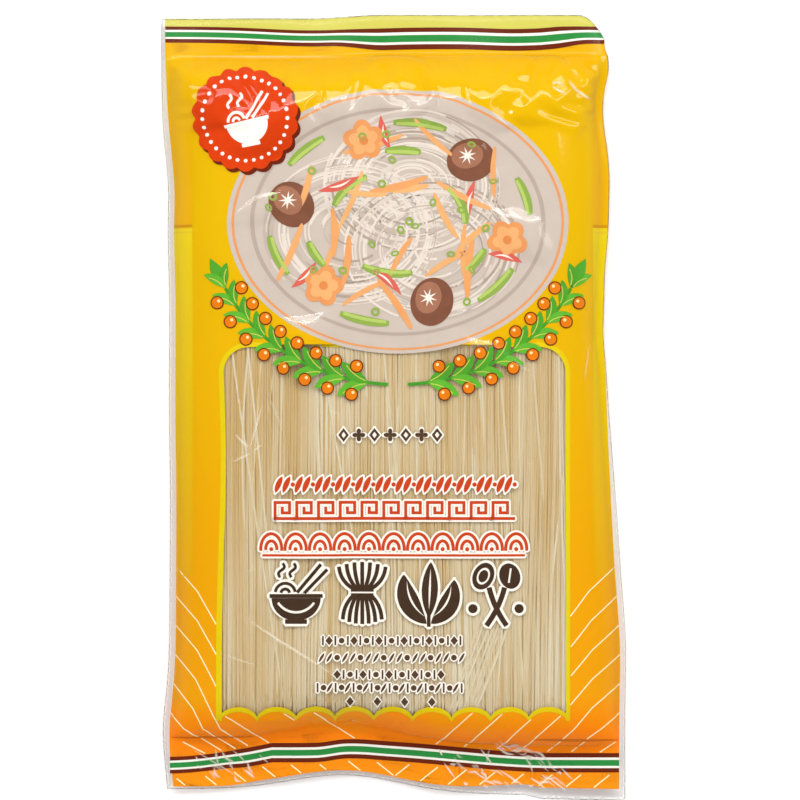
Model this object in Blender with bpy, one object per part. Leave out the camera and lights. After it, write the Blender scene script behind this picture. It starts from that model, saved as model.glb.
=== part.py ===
"""A sealed film pack of dried rice vermicelli, lying on its back with its printed front up.

The pack is one closed solid: a thin film sleeve, welded flat along its two long sides and sealed flat
across both ends, drawn tight over a flat bundle of straight noodles. It is a grid of columns across the
pack and rows along it, once for the front skin and once for the back skin, bridged round the rim.

Frame: metres, +Z up. The origin is the middle of the pack on the surface that it lies on, +Y points to
the top of the printed front, and +X to its right. A place on the film is (u, v): u runs from -1 at the
left weld to 1 at the right one, and v from -1 at the bottom edge to 1 at the top edge.
"""

import math

import bmesh
import bpy

MM = 0.001

# Driving dimensions of the pack, with the film laid over its contents.
PACK_WIDTH = 177.6 * MM
PACK_LENGTH = 302.0 * MM
PACK_HEIGHT = 21.0 * MM

# The flat rims of the film sleeve.
SIDE_WELD = 3.5 * MM
TOP_SEAL = 16.0 * MM
BOTTOM_SEAL = 20.0 * MM

# The outline: the film is drawn in where the bundle is thick, and the seals are a little askew.
TOP_NARROWING = 1.0 * MM
WAIST = 3.6 * MM
WAIST_PLACE = 0.15
WAIST_SPAN = 0.45
LEAN = 2.4 * MM
LEAN_OFFSET = -0.9 * MM
RIGHT_RIPPLE = 1.2 * MM
LEFT_FLARE = 1.7 * MM
BOTTOM_ARCH = 6.5 * MM
BOTTOM_ARCH_CENTRE = -19.0 * MM
BOTTOM_ARCH_SPAN = 30.0 * MM
BOTTOM_SLANT = 1.6 * MM
BOTTOM_FADE = 48.0 * MM
TOP_DIP = 1.4 * MM
TOP_DIP_CENTRE = -34.0 * MM
TOP_DIP_SPAN = 28.0 * MM
TOP_FADE = 40.0 * MM
END_SHIFT = BOTTOM_SLANT / 2.0
CORNER_CUT = 11.0 * MM
CORNER_START = 72.0 * MM
CORNER_SPAN = 11.0 * MM

# Heights of the flat rims over the table, and the solid's thickness there.
WELD_HEIGHT = 5.0 * MM
RIM_EDGE_HEIGHT = 3.4 * MM
RIM_THICKNESS = 0.9 * MM
SEAL_WAVE = 0.8 * MM
SEAL_WAVES_ACROSS = 3.1

# The bundle inside: how far in from each rim the skin takes to climb to its full height.
SIDE_CLIMB = 27.0 * MM
TOP_CLIMB = 28.0 * MM
BOTTOM_CLIMB = 18.0 * MM
BACK_CLIMB = 13.0 * MM
CROWN = 0.10
SHEAVES = 5
SHEAF_DIP = 0.35 * MM

# Gathers: folds that run in from the end seals, where the flat film meets the thick bundle.
GATHER_DEPTH = 1.0 * MM
GATHERS_ACROSS = 8.5
GATHER_REACH = 26.0 * MM

# The grid: columns across and rows along, closer together towards the rims.
COLUMNS = 34
ROWS = 56
CROWDING = 1.25

FILM_COLOUR = (0.86, 0.55, 0.02, 1.0)
FILM_ROUGHNESS = 0.28
SHARP_ANGLE = math.radians(50.0)


def clamp(value):
    """The value, kept between 0 and 1."""
    return max(0.0, min(1.0, value))


def eased(value):
    """The value kept between 0 and 1, with a gentle start and end."""
    share = clamp(value)
    return share * share * (3.0 - 2.0 * share)


def bell(distance, span):
    """A smooth hump that is 1 at no distance and fades out past span."""
    return math.exp(-((distance / span) ** 2))


def crowded(t):
    """A place from -1 to 1 moved outwards, so that even steps of t crowd together near the rims."""
    return math.copysign(1.0 - (1.0 - abs(t)) ** CROWDING, t)


def climb(distance, reach):
    """The share of full height at a distance in from a rim: a quarter of an ellipse, then flat."""
    inward = clamp(distance / reach)
    return math.sqrt(1.0 - (1.0 - inward) ** 2)


def half_width(v):
    """Half the pack's width at v: full at the seals, and drawn in between them by the bundle."""
    waist = WAIST * bell(v - WAIST_PLACE, WAIST_SPAN)
    return PACK_WIDTH / 2.0 - TOP_NARROWING * (1.0 + v) - waist


def across(u, v):
    """The X of the film's point: the sleeve leans a little, and its two long edges aren't straight."""
    middle = LEAN_OFFSET - LEAN * math.sin(1.9 * v)
    ripple = RIGHT_RIPPLE * clamp(u) ** 2 * math.cos(15.0 * (v - 0.585)) * bell(v - 0.6, 0.32)
    flare = LEFT_FLARE * clamp(-u) ** 2 * bell(v + 0.82, 0.12)
    return middle + u * half_width(v) + ripple - flare


def along(x, v):
    """The Y of the film's point: even steps, moved near the ends by the arched and slanted seals."""
    arch = BOTTOM_ARCH * bell(x - BOTTOM_ARCH_CENTRE, BOTTOM_ARCH_SPAN)
    slant = -BOTTOM_SLANT * x / (PACK_WIDTH / 2.0)
    dip = TOP_DIP * bell(x - TOP_DIP_CENTRE, TOP_DIP_SPAN)
    corner = CORNER_CUT * clamp((x - CORNER_START) / CORNER_SPAN) ** 2
    from_bottom = (1.0 + v) * PACK_LENGTH / 2.0 - BOTTOM_SEAL
    from_top = (1.0 - v) * PACK_LENGTH / 2.0 - TOP_SEAL
    near_bottom = 1.0 - eased(from_bottom / (BOTTOM_FADE - BOTTOM_SEAL))
    near_top = 1.0 - eased(from_top / (TOP_FADE - TOP_SEAL))
    at_corner = clamp(-from_top / TOP_SEAL)
    straight = v * PACK_LENGTH / 2.0 + END_SHIFT
    return straight + near_bottom * (arch + slant) - near_top * dip - at_corner * corner


def rim_distances(u, v):
    """How far in the point is from the side weld, the top seal and the bottom seal: negative on a rim."""
    side = (1.0 - abs(u)) * half_width(v) - SIDE_WELD
    top = (1.0 - v) * PACK_LENGTH / 2.0 - TOP_SEAL
    bottom = (1.0 + v) * PACK_LENGTH / 2.0 - BOTTOM_SEAL
    return side, top, bottom


def rim_height(u, v):
    """The height of the flat rims: the weld's by the bundle, lower and gently waved at the free edges."""
    side, top, bottom = rim_distances(u, v)
    past_seal = clamp(-min(top, bottom) / TOP_SEAL)
    past_weld = clamp(-side / SIDE_WELD)
    droop = max(past_seal, 0.6 * past_weld)
    wave = SEAL_WAVE * past_seal * math.sin(math.pi * SEAL_WAVES_ACROSS * u + 0.8 * v)
    return WELD_HEIGHT + (RIM_EDGE_HEIGHT - WELD_HEIGHT) * droop + wave


def gathers(u, v):
    """Depth of the gathers: folds across the width that fade out along the bundle."""
    _, top, bottom = rim_distances(u, v)
    fade = math.sin(math.pi * clamp(min(top, bottom) / GATHER_REACH))
    return GATHER_DEPTH * fade * math.sin(math.pi * GATHERS_ACROSS * u + 2.0 * math.sin(3.0 * u))


def front_height(u, v):
    """The height of the printed front over the table."""
    side, top, bottom = rim_distances(u, v)
    rim = rim_height(u, v) + RIM_THICKNESS / 2.0
    share = climb(side, SIDE_CLIMB) * climb(top, TOP_CLIMB) * climb(bottom, BOTTOM_CLIMB)
    crown = 1.0 - CROWN * (u * u + 0.5 * v * v)
    sheaves = SHEAF_DIP * math.cos(math.pi * SHEAVES * u)
    body = (PACK_HEIGHT - SHEAF_DIP - rim) * crown + sheaves + gathers(u, v)
    return rim + body * share


def back_height(u, v):
    """The height of the back: flat on the table under the bundle, and raised to the rims round it."""
    side, top, bottom = rim_distances(u, v)
    rim = rim_height(u, v) - RIM_THICKNESS / 2.0
    share = climb(side, BACK_CLIMB) * climb(top, BACK_CLIMB) * climb(bottom, BACK_CLIMB)
    return rim * (1.0 - share)


def add_skin(pack, height):
    """One skin of the pack: a flat grid moved to its places and heights. Returns the edges of its rim."""
    made = bmesh.ops.create_grid(pack, x_segments=COLUMNS, y_segments=ROWS, size=1.0)
    skin = set(made["verts"])
    for vertex in skin:
        u = crowded(vertex.co.x)
        v = crowded(vertex.co.y)
        x = across(u, v)
        vertex.co = (x, along(x, v), height(u, v))
    return [edge for edge in pack.edges if edge.is_boundary and edge.verts[0] in skin]


def film_material():
    """Printed polypropylene film, as one plain colour."""
    material = bpy.data.materials.new("printed_film")
    material.use_nodes = True
    shader = material.node_tree.nodes["Principled BSDF"]
    shader.inputs["Base Color"].default_value = FILM_COLOUR
    shader.inputs["Roughness"].default_value = FILM_ROUGHNESS
    shader.inputs["Metallic"].default_value = 0.0
    return material


def build_pack(collection):
    """The whole sealed pack as one closed mesh."""
    pack = bmesh.new()
    rims = add_skin(pack, front_height) + add_skin(pack, back_height)
    bmesh.ops.bridge_loops(pack, edges=rims)
    bmesh.ops.recalc_face_normals(pack, faces=pack.faces)
    mesh = bpy.data.meshes.new("vermicelli_pack")
    pack.to_mesh(mesh)
    pack.free()
    mesh.shade_smooth()
    mesh.set_sharp_from_angle(angle=SHARP_ANGLE)
    mesh.materials.append(film_material())
    collection.objects.link(bpy.data.objects.new("vermicelli_pack", mesh))


def main():
    """Clears the scene and builds the pack in a collection of its own."""
    for old in list(bpy.data.objects):
        bpy.data.objects.remove(old)
    collection = bpy.data.collections.new("sealed_pack")
    bpy.context.scene.collection.children.link(collection)
    build_pack(collection)


main()
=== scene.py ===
"""Looks of a sealed film pack of straight dried rice vermicelli, lying on its back.

The pack is dressed as it is made: a clear glossy film sleeve, welded along its sides and sealed across
its ends, with the inks of its print laid on the inside of the film, and a bundle of straight noodles
that shows through a clear window. All lengths in the classes are in millimetres, in the pack's own plan:
+X to the right of the printed front, +Y to its top and +Z out of it. A place on the film is (u, v), each
from -1 to 1 across and along the sleeve.
"""

import logging
import math
from dataclasses import dataclass, replace
from enum import Enum
from typing import Any, Callable, NamedTuple, Sequence

import bmesh
import bpy
import numpy as np
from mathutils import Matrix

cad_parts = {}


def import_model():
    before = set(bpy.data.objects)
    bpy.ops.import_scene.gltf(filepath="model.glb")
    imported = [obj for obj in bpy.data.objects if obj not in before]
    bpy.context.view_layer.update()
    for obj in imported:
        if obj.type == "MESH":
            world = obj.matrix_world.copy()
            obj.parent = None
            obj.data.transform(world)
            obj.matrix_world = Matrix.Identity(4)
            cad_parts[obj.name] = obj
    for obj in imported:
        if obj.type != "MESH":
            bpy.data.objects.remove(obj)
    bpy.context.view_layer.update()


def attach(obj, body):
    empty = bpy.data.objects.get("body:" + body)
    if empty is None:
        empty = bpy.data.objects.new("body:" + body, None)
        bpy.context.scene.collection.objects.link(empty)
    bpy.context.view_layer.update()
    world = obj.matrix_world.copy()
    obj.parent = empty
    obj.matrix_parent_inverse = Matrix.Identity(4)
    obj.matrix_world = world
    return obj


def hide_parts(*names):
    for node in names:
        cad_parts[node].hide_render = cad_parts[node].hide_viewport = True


LOG = logging.getLogger("vermicelli_pack")

NODE = "vermicelli_pack"
BODY = "root"

MM = 0.001
Array = np.ndarray
Place = Sequence[float]
Curve = Callable[[Array], Array]


# ---- Small tools: profiles, meshes and shader nodes ----


def clamp(value: Array) -> Array:
    """The values, kept between 0 and 1."""
    return np.clip(value, 0.0, 1.0)


def eased(value: Array) -> Array:
    """The values kept between 0 and 1, with a gentle start and end: 3s^2 - 2s^3."""
    share = clamp(value)
    return share * share * (3.0 - 2.0 * share)


def bell(distance: Array, span: float) -> Array:
    """A smooth hump that is 1 at no distance and fades out past span: exp(-(d / span)^2)."""
    return np.exp(-((distance / span) ** 2))


def climb(distance: Array, reach: float) -> Array:
    """The share of full height at a distance in from a rim: a quarter of an ellipse, then flat."""
    inward = clamp(distance / reach)
    return np.sqrt(1.0 - (1.0 - inward) ** 2)


def value_noise(x: Array, y: Array, rng: np.random.Generator, cells: int = 64) -> Array:
    """Smooth noise from -1 to 1: random heights on a wrapped square lattice, eased between its points.

    Args:
        x: first coordinate, in lattice cells.
        y: second coordinate, in lattice cells.
        rng: source of the lattice's heights.
        cells: lattice size, after which the noise repeats.

    Returns:
        The noise at each place.
    """
    lattice = rng.uniform(-1.0, 1.0, (cells, cells))
    column, row = np.floor(x).astype(int), np.floor(y).astype(int)
    across, along = eased(x - column), eased(y - row)
    noise = np.zeros_like(across)
    for up, height in ((0, 1.0 - along), (1, along)):
        for right, share in ((0, 1.0 - across), (1, across)):
            noise = noise + height * share * lattice[(row + up) % cells, (column + right) % cells]
    return noise


def linear(code: str) -> tuple[float, float, float, float]:
    """An sRGB hex colour as the linear colour that a shader takes.

    Args:
        code: six hex digits.

    Returns:
        Red, green, blue and an alpha of 1.
    """
    channels = [int(code[i : i + 2], 16) / 255.0 for i in (0, 2, 4)]
    curve = [c / 12.92 if c <= 0.04045 else ((c + 0.055) / 1.055) ** 2.4 for c in channels]
    return curve[0], curve[1], curve[2], 1.0


def add_node(
    tree: bpy.types.NodeTree, kind: str, inputs: dict[Any, Any] | None = None, **settings: Any
) -> bpy.types.Node:
    """Adds one shader node.

    Args:
        tree: the material's node tree.
        kind: the node's type name, less its "ShaderNode".
        inputs: input name or index to its value, to the output that feeds it, or to the node whose
            first output feeds it.
        **settings: properties of the node itself.

    Returns:
        The new node.
    """
    node = tree.nodes.new("ShaderNode" + kind)
    for name, setting in settings.items():
        setattr(node, name, setting)
    for name, source in (inputs or {}).items():
        if isinstance(source, bpy.types.Node):
            source = source.outputs[0]
        if isinstance(source, bpy.types.NodeSocket):
            tree.links.new(source, node.inputs[name])
        else:
            node.inputs[name].default_value = source
    return node


def blank_material(name: str) -> tuple[bpy.types.Material, bpy.types.NodeTree]:
    """Makes a material of that name with an empty node tree, and gives both."""
    material = bpy.data.materials.new(name)
    material.use_nodes = True
    material.node_tree.nodes.clear()
    return material, material.node_tree


def set_ramp(node: bpy.types.Node, stops: Sequence[tuple[float, str]]) -> None:
    """Puts colour stops on a Color Ramp node.

    Args:
        node: the ramp.
        stops: place from 0 to 1 and sRGB hex colour, in order.
    """
    ramp = node.color_ramp
    ramp.elements[0].position, ramp.elements[0].color = stops[0][0], linear(stops[0][1])
    ramp.elements[1].position, ramp.elements[1].color = stops[-1][0], linear(stops[-1][1])
    for place, code in stops[1:-1]:
        ramp.elements.new(place).color = linear(code)


def dress(
    tree: bpy.types.NodeTree,
    shade: bpy.types.NodeSocket,
    mottle: tuple[bpy.types.Node, float],
    stops: Sequence[tuple[float, str]],
    surface: dict[str, Any],
) -> None:
    """Shifts a shade by a mottle, colours it by a ramp, and makes it the material's opaque surface.

    Args:
        tree: the material's node tree.
        shade: the output that gives the shade, from 0 to 1.
        mottle: a noise, and how far it shifts the shade up and down.
        stops: the ramp's places and sRGB hex colours, in order.
        surface: the other inputs of the surface.
    """
    noise, depth = mottle
    shift = add_node(tree, "Math", {0: noise, 1: 2.0 * depth, 2: -depth}, operation="MULTIPLY_ADD")
    shade = add_node(tree, "Math", {0: shade, 1: shift}, operation="ADD", use_clamp=True)
    colour = add_node(tree, "ValToRGB", {"Fac": shade})
    set_ramp(colour, stops)
    body = add_node(tree, "BsdfPrincipled", {"Base Color": colour, **surface})
    add_node(tree, "OutputMaterial", {"Surface": body})


class MeshMaker:
    """Gathers grids of points in millimetres and makes one mesh object of them."""

    def __init__(self) -> None:
        """Starts with no points."""
        self.points: list[Array] = []
        self.quads: list[Array] = []
        self.tones: list[Array] = []
        self.count = 0

    def add_grid(
        self, grid: Array, closed: bool = False, flip: bool = False, tone: float | Array = 0.5
    ) -> None:
        """Adds a grid of points as quads.

        Args:
            grid: points, rows by columns by 3.
            closed: joins the last column to the first.
            flip: turns the faces over.
            tone: a shade from 0 to 1 for the whole grid, for each of its rows or for each point.
        """
        rows, columns = grid.shape[:2]
        index = np.arange(rows * columns).reshape(rows, columns) + self.count
        if closed:
            index = np.concatenate([index, index[:, :1]], axis=1)
        quads = np.stack([index[:-1, :-1], index[:-1, 1:], index[1:, 1:], index[1:, :-1]], axis=-1)
        quads = quads.reshape(-1, 4)
        self.quads.append(quads[:, ::-1] if flip else quads)
        self.points.append(grid.reshape(-1, 3))
        tones = np.asarray(tone, float)
        if tones.ndim < 2:
            tones = tones.reshape(-1, 1)
        self.tones.append(np.broadcast_to(tones, (rows, columns)).reshape(-1))
        self.count += rows * columns

    def make(self, name: str, material: bpy.types.Material, merge: bool = True) -> bpy.types.Object:
        """Makes the object.

        Args:
            name: the piece's name.
            material: its finish.
            merge: joins points that lie on each other, which closes seams and the tips of strokes.

        Returns:
            The object, at the origin, with smooth shading and its tones in the attribute "tone".
        """
        mesh = bpy.data.meshes.new(name)
        points = np.concatenate(self.points) * MM
        mesh.from_pydata(points, [], np.concatenate(self.quads))
        tones = mesh.attributes.new("tone", "FLOAT", "POINT")
        tones.data.foreach_set("value", np.concatenate(self.tones).astype(np.float32))
        if merge:
            shell = bmesh.new()
            shell.from_mesh(mesh)
            bmesh.ops.remove_doubles(shell, verts=shell.verts, dist=0.002 * MM)
            shell.to_mesh(mesh)
            shell.free()
        mesh.shade_smooth()
        mesh.materials.append(material)
        piece = bpy.data.objects.new(name, mesh)
        bpy.context.scene.collection.objects.link(piece)
        return piece


def settle(piece: bpy.types.Object, replaces: bool = False) -> None:
    """Ties a finished piece to the pack's body, and reports it.

    Args:
        piece: the piece.
        replaces: whether it stands for the pack's solid.
    """
    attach(piece, BODY)
    if replaces:
        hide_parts(NODE)
    LOG.info("%s: %d faces", piece.name, len(piece.data.polygons))


# ---- Finishes ----


@dataclass(frozen=True)
class ClearFilm:
    """Biaxially oriented polypropylene film, about 0.04 mm thick and heat sealed.

    The eye sees through it, and sees it by its sharp reflections: a few percent looking straight on,
    and far more at a slant. Stretching leaves it faintly uneven, so reflections waver. The attribute
    "tone" rises to a half where the film is crumpled, and fine crazing breaks them into sparkles there.
    Real crazing is finer than a millimetre, and is drawn coarser so that it shows. The tone is 0.75 on the
    seals, which heat has left duller, and 1 on the bare margins, whose grey tint is partly the two layers'
    own and partly painted shade, for the shadow that they cast on the table.
    """

    name: str = "polypropylene_film_clear"
    tint: str = "FEFEFC"
    # Painted shade: the bare margins are tinted greyer than the film alone, for their shadow on the table.
    bare_tint_with_painted_shade: str = "EFEDF0"
    straight_on: float = 0.045
    roughness: float = 0.12
    seal_roughness: float = 0.22
    seal_mirror: float = 0.4
    haze: float = 0.002
    waver_mm: float = 9.0
    craze_mm: float = 1.8

    def make(self) -> bpy.types.Material:
        """Makes the film: see-through, with a mirror over it that strengthens at a slant.

        Returns:
            The material.
        """
        material, tree = blank_material(self.name)
        place = add_node(tree, "TexCoord").outputs["Object"]
        waver = add_node(tree, "TexNoise", {"Vector": place, "Scale": 1.0 / (self.waver_mm * MM)})
        craze = add_node(
            tree, "TexNoise", {"Vector": place, "Scale": 1.0 / (self.craze_mm * MM), "Distortion": 0.6}
        )
        state = add_node(tree, "Attribute", attribute_name="tone").outputs["Fac"]
        crumple = add_node(tree, "ValToRGB", {"Fac": state})
        set_ramp(crumple, [(0.0, "000000"), (0.2, "000000"), (0.5, "E0E0E0"), (0.75, "5A5A5A")])
        tint = add_node(tree, "ValToRGB", {"Fac": state})
        set_ramp(tint, [(0.76, self.tint), (1.0, self.bare_tint_with_painted_shade)])
        crazed = add_node(tree, "Math", {0: craze, 1: crumple}, operation="MULTIPLY")
        height = add_node(tree, "Math", {0: crazed, 1: 0.35, 2: waver}, operation="MULTIPLY_ADD")
        bump = add_node(tree, "Bump", {"Height": height, "Strength": 0.35, "Distance": 0.3 * MM})

        facing = add_node(tree, "LayerWeight", {"Blend": 0.5, "Normal": bump}).outputs["Facing"]
        slant = add_node(tree, "Math", {0: facing, 1: 5.0}, operation="POWER")
        whole = {0: slant, 1: 1.0 - self.straight_on, 2: self.straight_on}
        mirror = add_node(tree, "Math", whole, operation="MULTIPLY_ADD", use_clamp=True)
        on_seal = {"Value": state, "From Min": 0.5, "From Max": 0.75}
        share = add_node(tree, "MapRange", {**on_seal, "To Min": 1.0, "To Max": self.seal_mirror})
        roughs = {"To Min": self.roughness, "To Max": self.seal_roughness}
        rough = add_node(tree, "MapRange", {**on_seal, **roughs})
        mirror = add_node(tree, "Math", {0: mirror, 1: share}, operation="MULTIPLY")

        clear = add_node(tree, "BsdfTransparent", {"Color": tint})
        milky = add_node(tree, "BsdfDiffuse", {"Color": linear("F4F2EC")})
        body = add_node(tree, "MixShader", {"Fac": self.haze, 1: clear, 2: milky})
        shine = {"Color": linear("FFFFFF"), "Normal": bump, "Roughness": rough}
        gloss = add_node(tree, "BsdfAnisotropic", shine)
        film = add_node(tree, "MixShader", {"Fac": mirror, 1: body, 2: gloss})
        add_node(tree, "OutputMaterial", {"Surface": film})
        return material


@dataclass(frozen=True)
class WhitenedFilmWithPaintedHighlight:
    """Film that has been folded sharply: the strain leaves it milky along the ridge of the crease, and the
    white also stands in for the crease's highlight, as a painted highlight.
    """

    name: str = "polypropylene_film_stress_whitened"
    whiteness_and_highlight: float = 0.75

    def make(self) -> bpy.types.Material:
        """Makes the film: see-through, and whiter as the attribute "tone" rises.

        Returns:
            The material.
        """
        material, tree = blank_material(self.name)
        tone = add_node(tree, "Attribute", attribute_name="tone").outputs["Fac"]
        share = add_node(tree, "Math", {0: tone, 1: self.whiteness_and_highlight}, operation="MULTIPLY")
        clear = add_node(tree, "BsdfTransparent", {"Color": linear("FFFFFF")})
        milky = add_node(tree, "BsdfDiffuse", {"Color": linear("F6F0E0")})
        film = add_node(tree, "MixShader", {"Fac": share, 1: clear, 2: milky})
        add_node(tree, "OutputMaterial", {"Surface": film})
        return material


@dataclass(frozen=True)
class GravureInk:
    """Solvent ink printed by gravure on the inside of the film.

    Seen through the film it is a flat, even colour with a faint mottle where the film's touch on the
    ink varies. It has no gloss of its own, because the film over it carries the reflections.
    """

    name: str
    stops: tuple[tuple[float, str], ...]
    mottle: float = 0.175
    mottle_mm: float = 5.0
    mottle_detail: float = 4.0
    mottle_fineness: float = 0.6
    roughness: float = 0.55
    sheen: float = 0.02

    def shade(self, tree: bpy.types.NodeTree, place: bpy.types.NodeSocket) -> bpy.types.NodeSocket:
        """The shade, from the first stop to the last: each stroke's own tone."""
        return add_node(tree, "Attribute", attribute_name="tone").outputs["Fac"]

    def make(self) -> bpy.types.Material:
        """Makes the ink, whose colour is chosen by its shade and a soft mottle.

        Returns:
            The material.
        """
        material, tree = blank_material(self.name)
        place = add_node(tree, "TexCoord").outputs["Object"]
        grain = {"Detail": self.mottle_detail, "Roughness": self.mottle_fineness}
        grain = add_node(tree, "TexNoise", {"Vector": place, "Scale": 1.0 / (self.mottle_mm * MM), **grain})
        low, high = self.stops[0][0], self.stops[-1][0]
        stops = [((stop - low) / (high - low), code) for stop, code in self.stops]
        surface = {"Roughness": self.roughness, "Specular IOR Level": self.sheen}
        dress(tree, self.shade(tree, place), (grain, self.mottle), stops, surface)
        return material


@dataclass(frozen=True)
class GradedInk(GravureInk):
    """The ground of the print: yellow gravure ink that grades to orange towards the bottom edge.

    The grade is printed, so it follows the pack's length, and its stops are at Y in millimetres. The ink
    is thin enough that the light inside the pack warms it a little unevenly.
    """

    mottle: float = 0.03
    mottle_mm: float = 22.0
    mottle_detail: float = 2.0
    mottle_fineness: float = 0.5
    roughness: float = 0.5

    def shade(self, tree: bpy.types.NodeTree, place: bpy.types.NodeSocket) -> bpy.types.NodeSocket:
        """The shade, from the first stop to the last: the place along the pack's Y."""
        ends = {"From Min": self.stops[0][0] * MM, "From Max": self.stops[-1][0] * MM}
        ends["Value"] = add_node(tree, "SeparateXYZ", {0: place}).outputs["Y"]
        return add_node(tree, "MapRange", ends).outputs[0]


@dataclass(frozen=True)
class DriedNoodle:
    """Rice dough pressed through a die into fine strands and dried straight.

    Dry rice starch lets a little light through. A strand runs from honey brown to pale beige by its tone,
    and the deeper strands and the core, which show in the gaps, are given the darker tones as painted
    shade. It has a soft sheen and streaks along it from the die. The real streaks are about 0.1 mm wide,
    which is too fine to show, so they are drawn 0.5 mm wide.
    """

    name: str = "rice_noodle_extruded_dried"
    pale: str = "D6CBB2"
    warm: str = "C09E60"
    streak: float = 0.2
    streak_mm: float = 0.5
    streak_length_mm: float = 18.0
    roughness: float = 0.42
    glow: float = 0.2
    glow_mm: float = 0.2

    def make(self) -> bpy.types.Material:
        """Makes the dough, pale to warm by each strand's own tone and by fine streaks along it.

        Returns:
            The material.
        """
        material, tree = blank_material(self.name)
        place = add_node(tree, "TexCoord").outputs["Object"]
        fineness = (1.0 / self.streak_mm, 1.0 / self.streak_length_mm, 1.0 / self.streak_mm)
        stretch = add_node(tree, "Mapping", {"Vector": place, "Scale": fineness})
        streaks = add_node(tree, "TexNoise", {"Vector": stretch, "Scale": 1.0 / MM})
        tone = add_node(tree, "Attribute", attribute_name="tone").outputs["Fac"]
        glow = {"Subsurface Weight": self.glow, "Subsurface Radius": (1.0, 0.9, 0.75)}
        glow["Subsurface Scale"] = self.glow_mm * MM
        surface = {"Roughness": self.roughness, "IOR": 1.5, **glow}
        dress(tree, tone, (streaks, self.streak), [(0.0, self.warm), (1.0, self.pale)], surface)
        return material


class Ink(Enum):
    """The print's inks, each with its light and its dark shade in sRGB hex."""

    PALE_YELLOW = ("CACA60", "C0B44C")
    MAROON = ("6E260E", "581A06")
    WHITE = ("F2F1EC", "DEDCD4")
    LEAF_GREEN = ("349448", "187230")
    BRIGHT_YELLOW = ("DEC814", "D2B60A")
    CREAM = ("FCE6B4", "F4CE86")
    HALO_WHITE = ("F4EEE6", "E6DCD2")
    SEAM_BROWN = ("DEBC24", "CA8C04")
    SEAL_RED = ("D8420A", "B22404")
    TEXT_RED = ("CE4A24", "AE3414")
    DARK_BROWN = ("5A4230", "33241A")
    PLATE = ("CABCB2", "B0A096")
    PLATE_LINE = ("DED2C8", "A8968A")
    SPRIG_GREEN = ("66B636", "3C8C26")
    PEPPER_GREEN = ("AEC266", "7C9A40")
    CARROT = ("E8AE74", "D68248")
    CHILLI = ("DE7468", "C2483C")
    CHESTNUT = ("A9745C", "6E4230")
    BERRY = ("EE8C18", "C45E08")
    # Painted shade: a dark line for the fold at the bottom seal's upper edge, laid as ink.
    PAINTED_FOLD_SHADE = ("D8740E", "C46208")

    def finish(self) -> GravureInk:
        """The ink's finish."""
        light, dark = self.value
        return GravureInk("gravure_ink_" + self.name.lower(), ((0.0, dark), (1.0, light)))


# At -128 the ground turns a deeper orange along the bottom seal's upper edge: painted shade where the film
# falls to the seal, with its red raised as painted light to make up for the shade that the fold renders.
GROUND_INK = GradedInk(
    name="gravure_ink_graded_yellow",
    stops=(
        *((-150.0, "E88E0E"), (-136.0, "EC860C"), (-128.0, "F88208"), (-112.0, "E49808"), (-60.0, "E09E00")),
        *((0.0, "DDA800"), (70.0, "DAAE00"), (126.0, "DDAD00"), (136.0, "DEA600"), (150.0, "DEA400")),
    ),
)
STRIP_INK = GradedInk(
    name="gravure_ink_graded_side_strip",
    mottle=0.004,
    stops=(
        *((-70.0, "DCA000"), (-10.0, "DAB200"), (62.0, "DEC210")),
        *((68.6, "E2C81C"), (69.2, "E0A800"), (140.0, "DCAC00")),
    ),
)


# ---- The sleeve's shape ----


class Sway(NamedTuple):
    """A place where a long edge wanders off its plain course: its Y, how far it reaches, and by how much."""

    place: float
    reach: float
    shift: float


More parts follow.
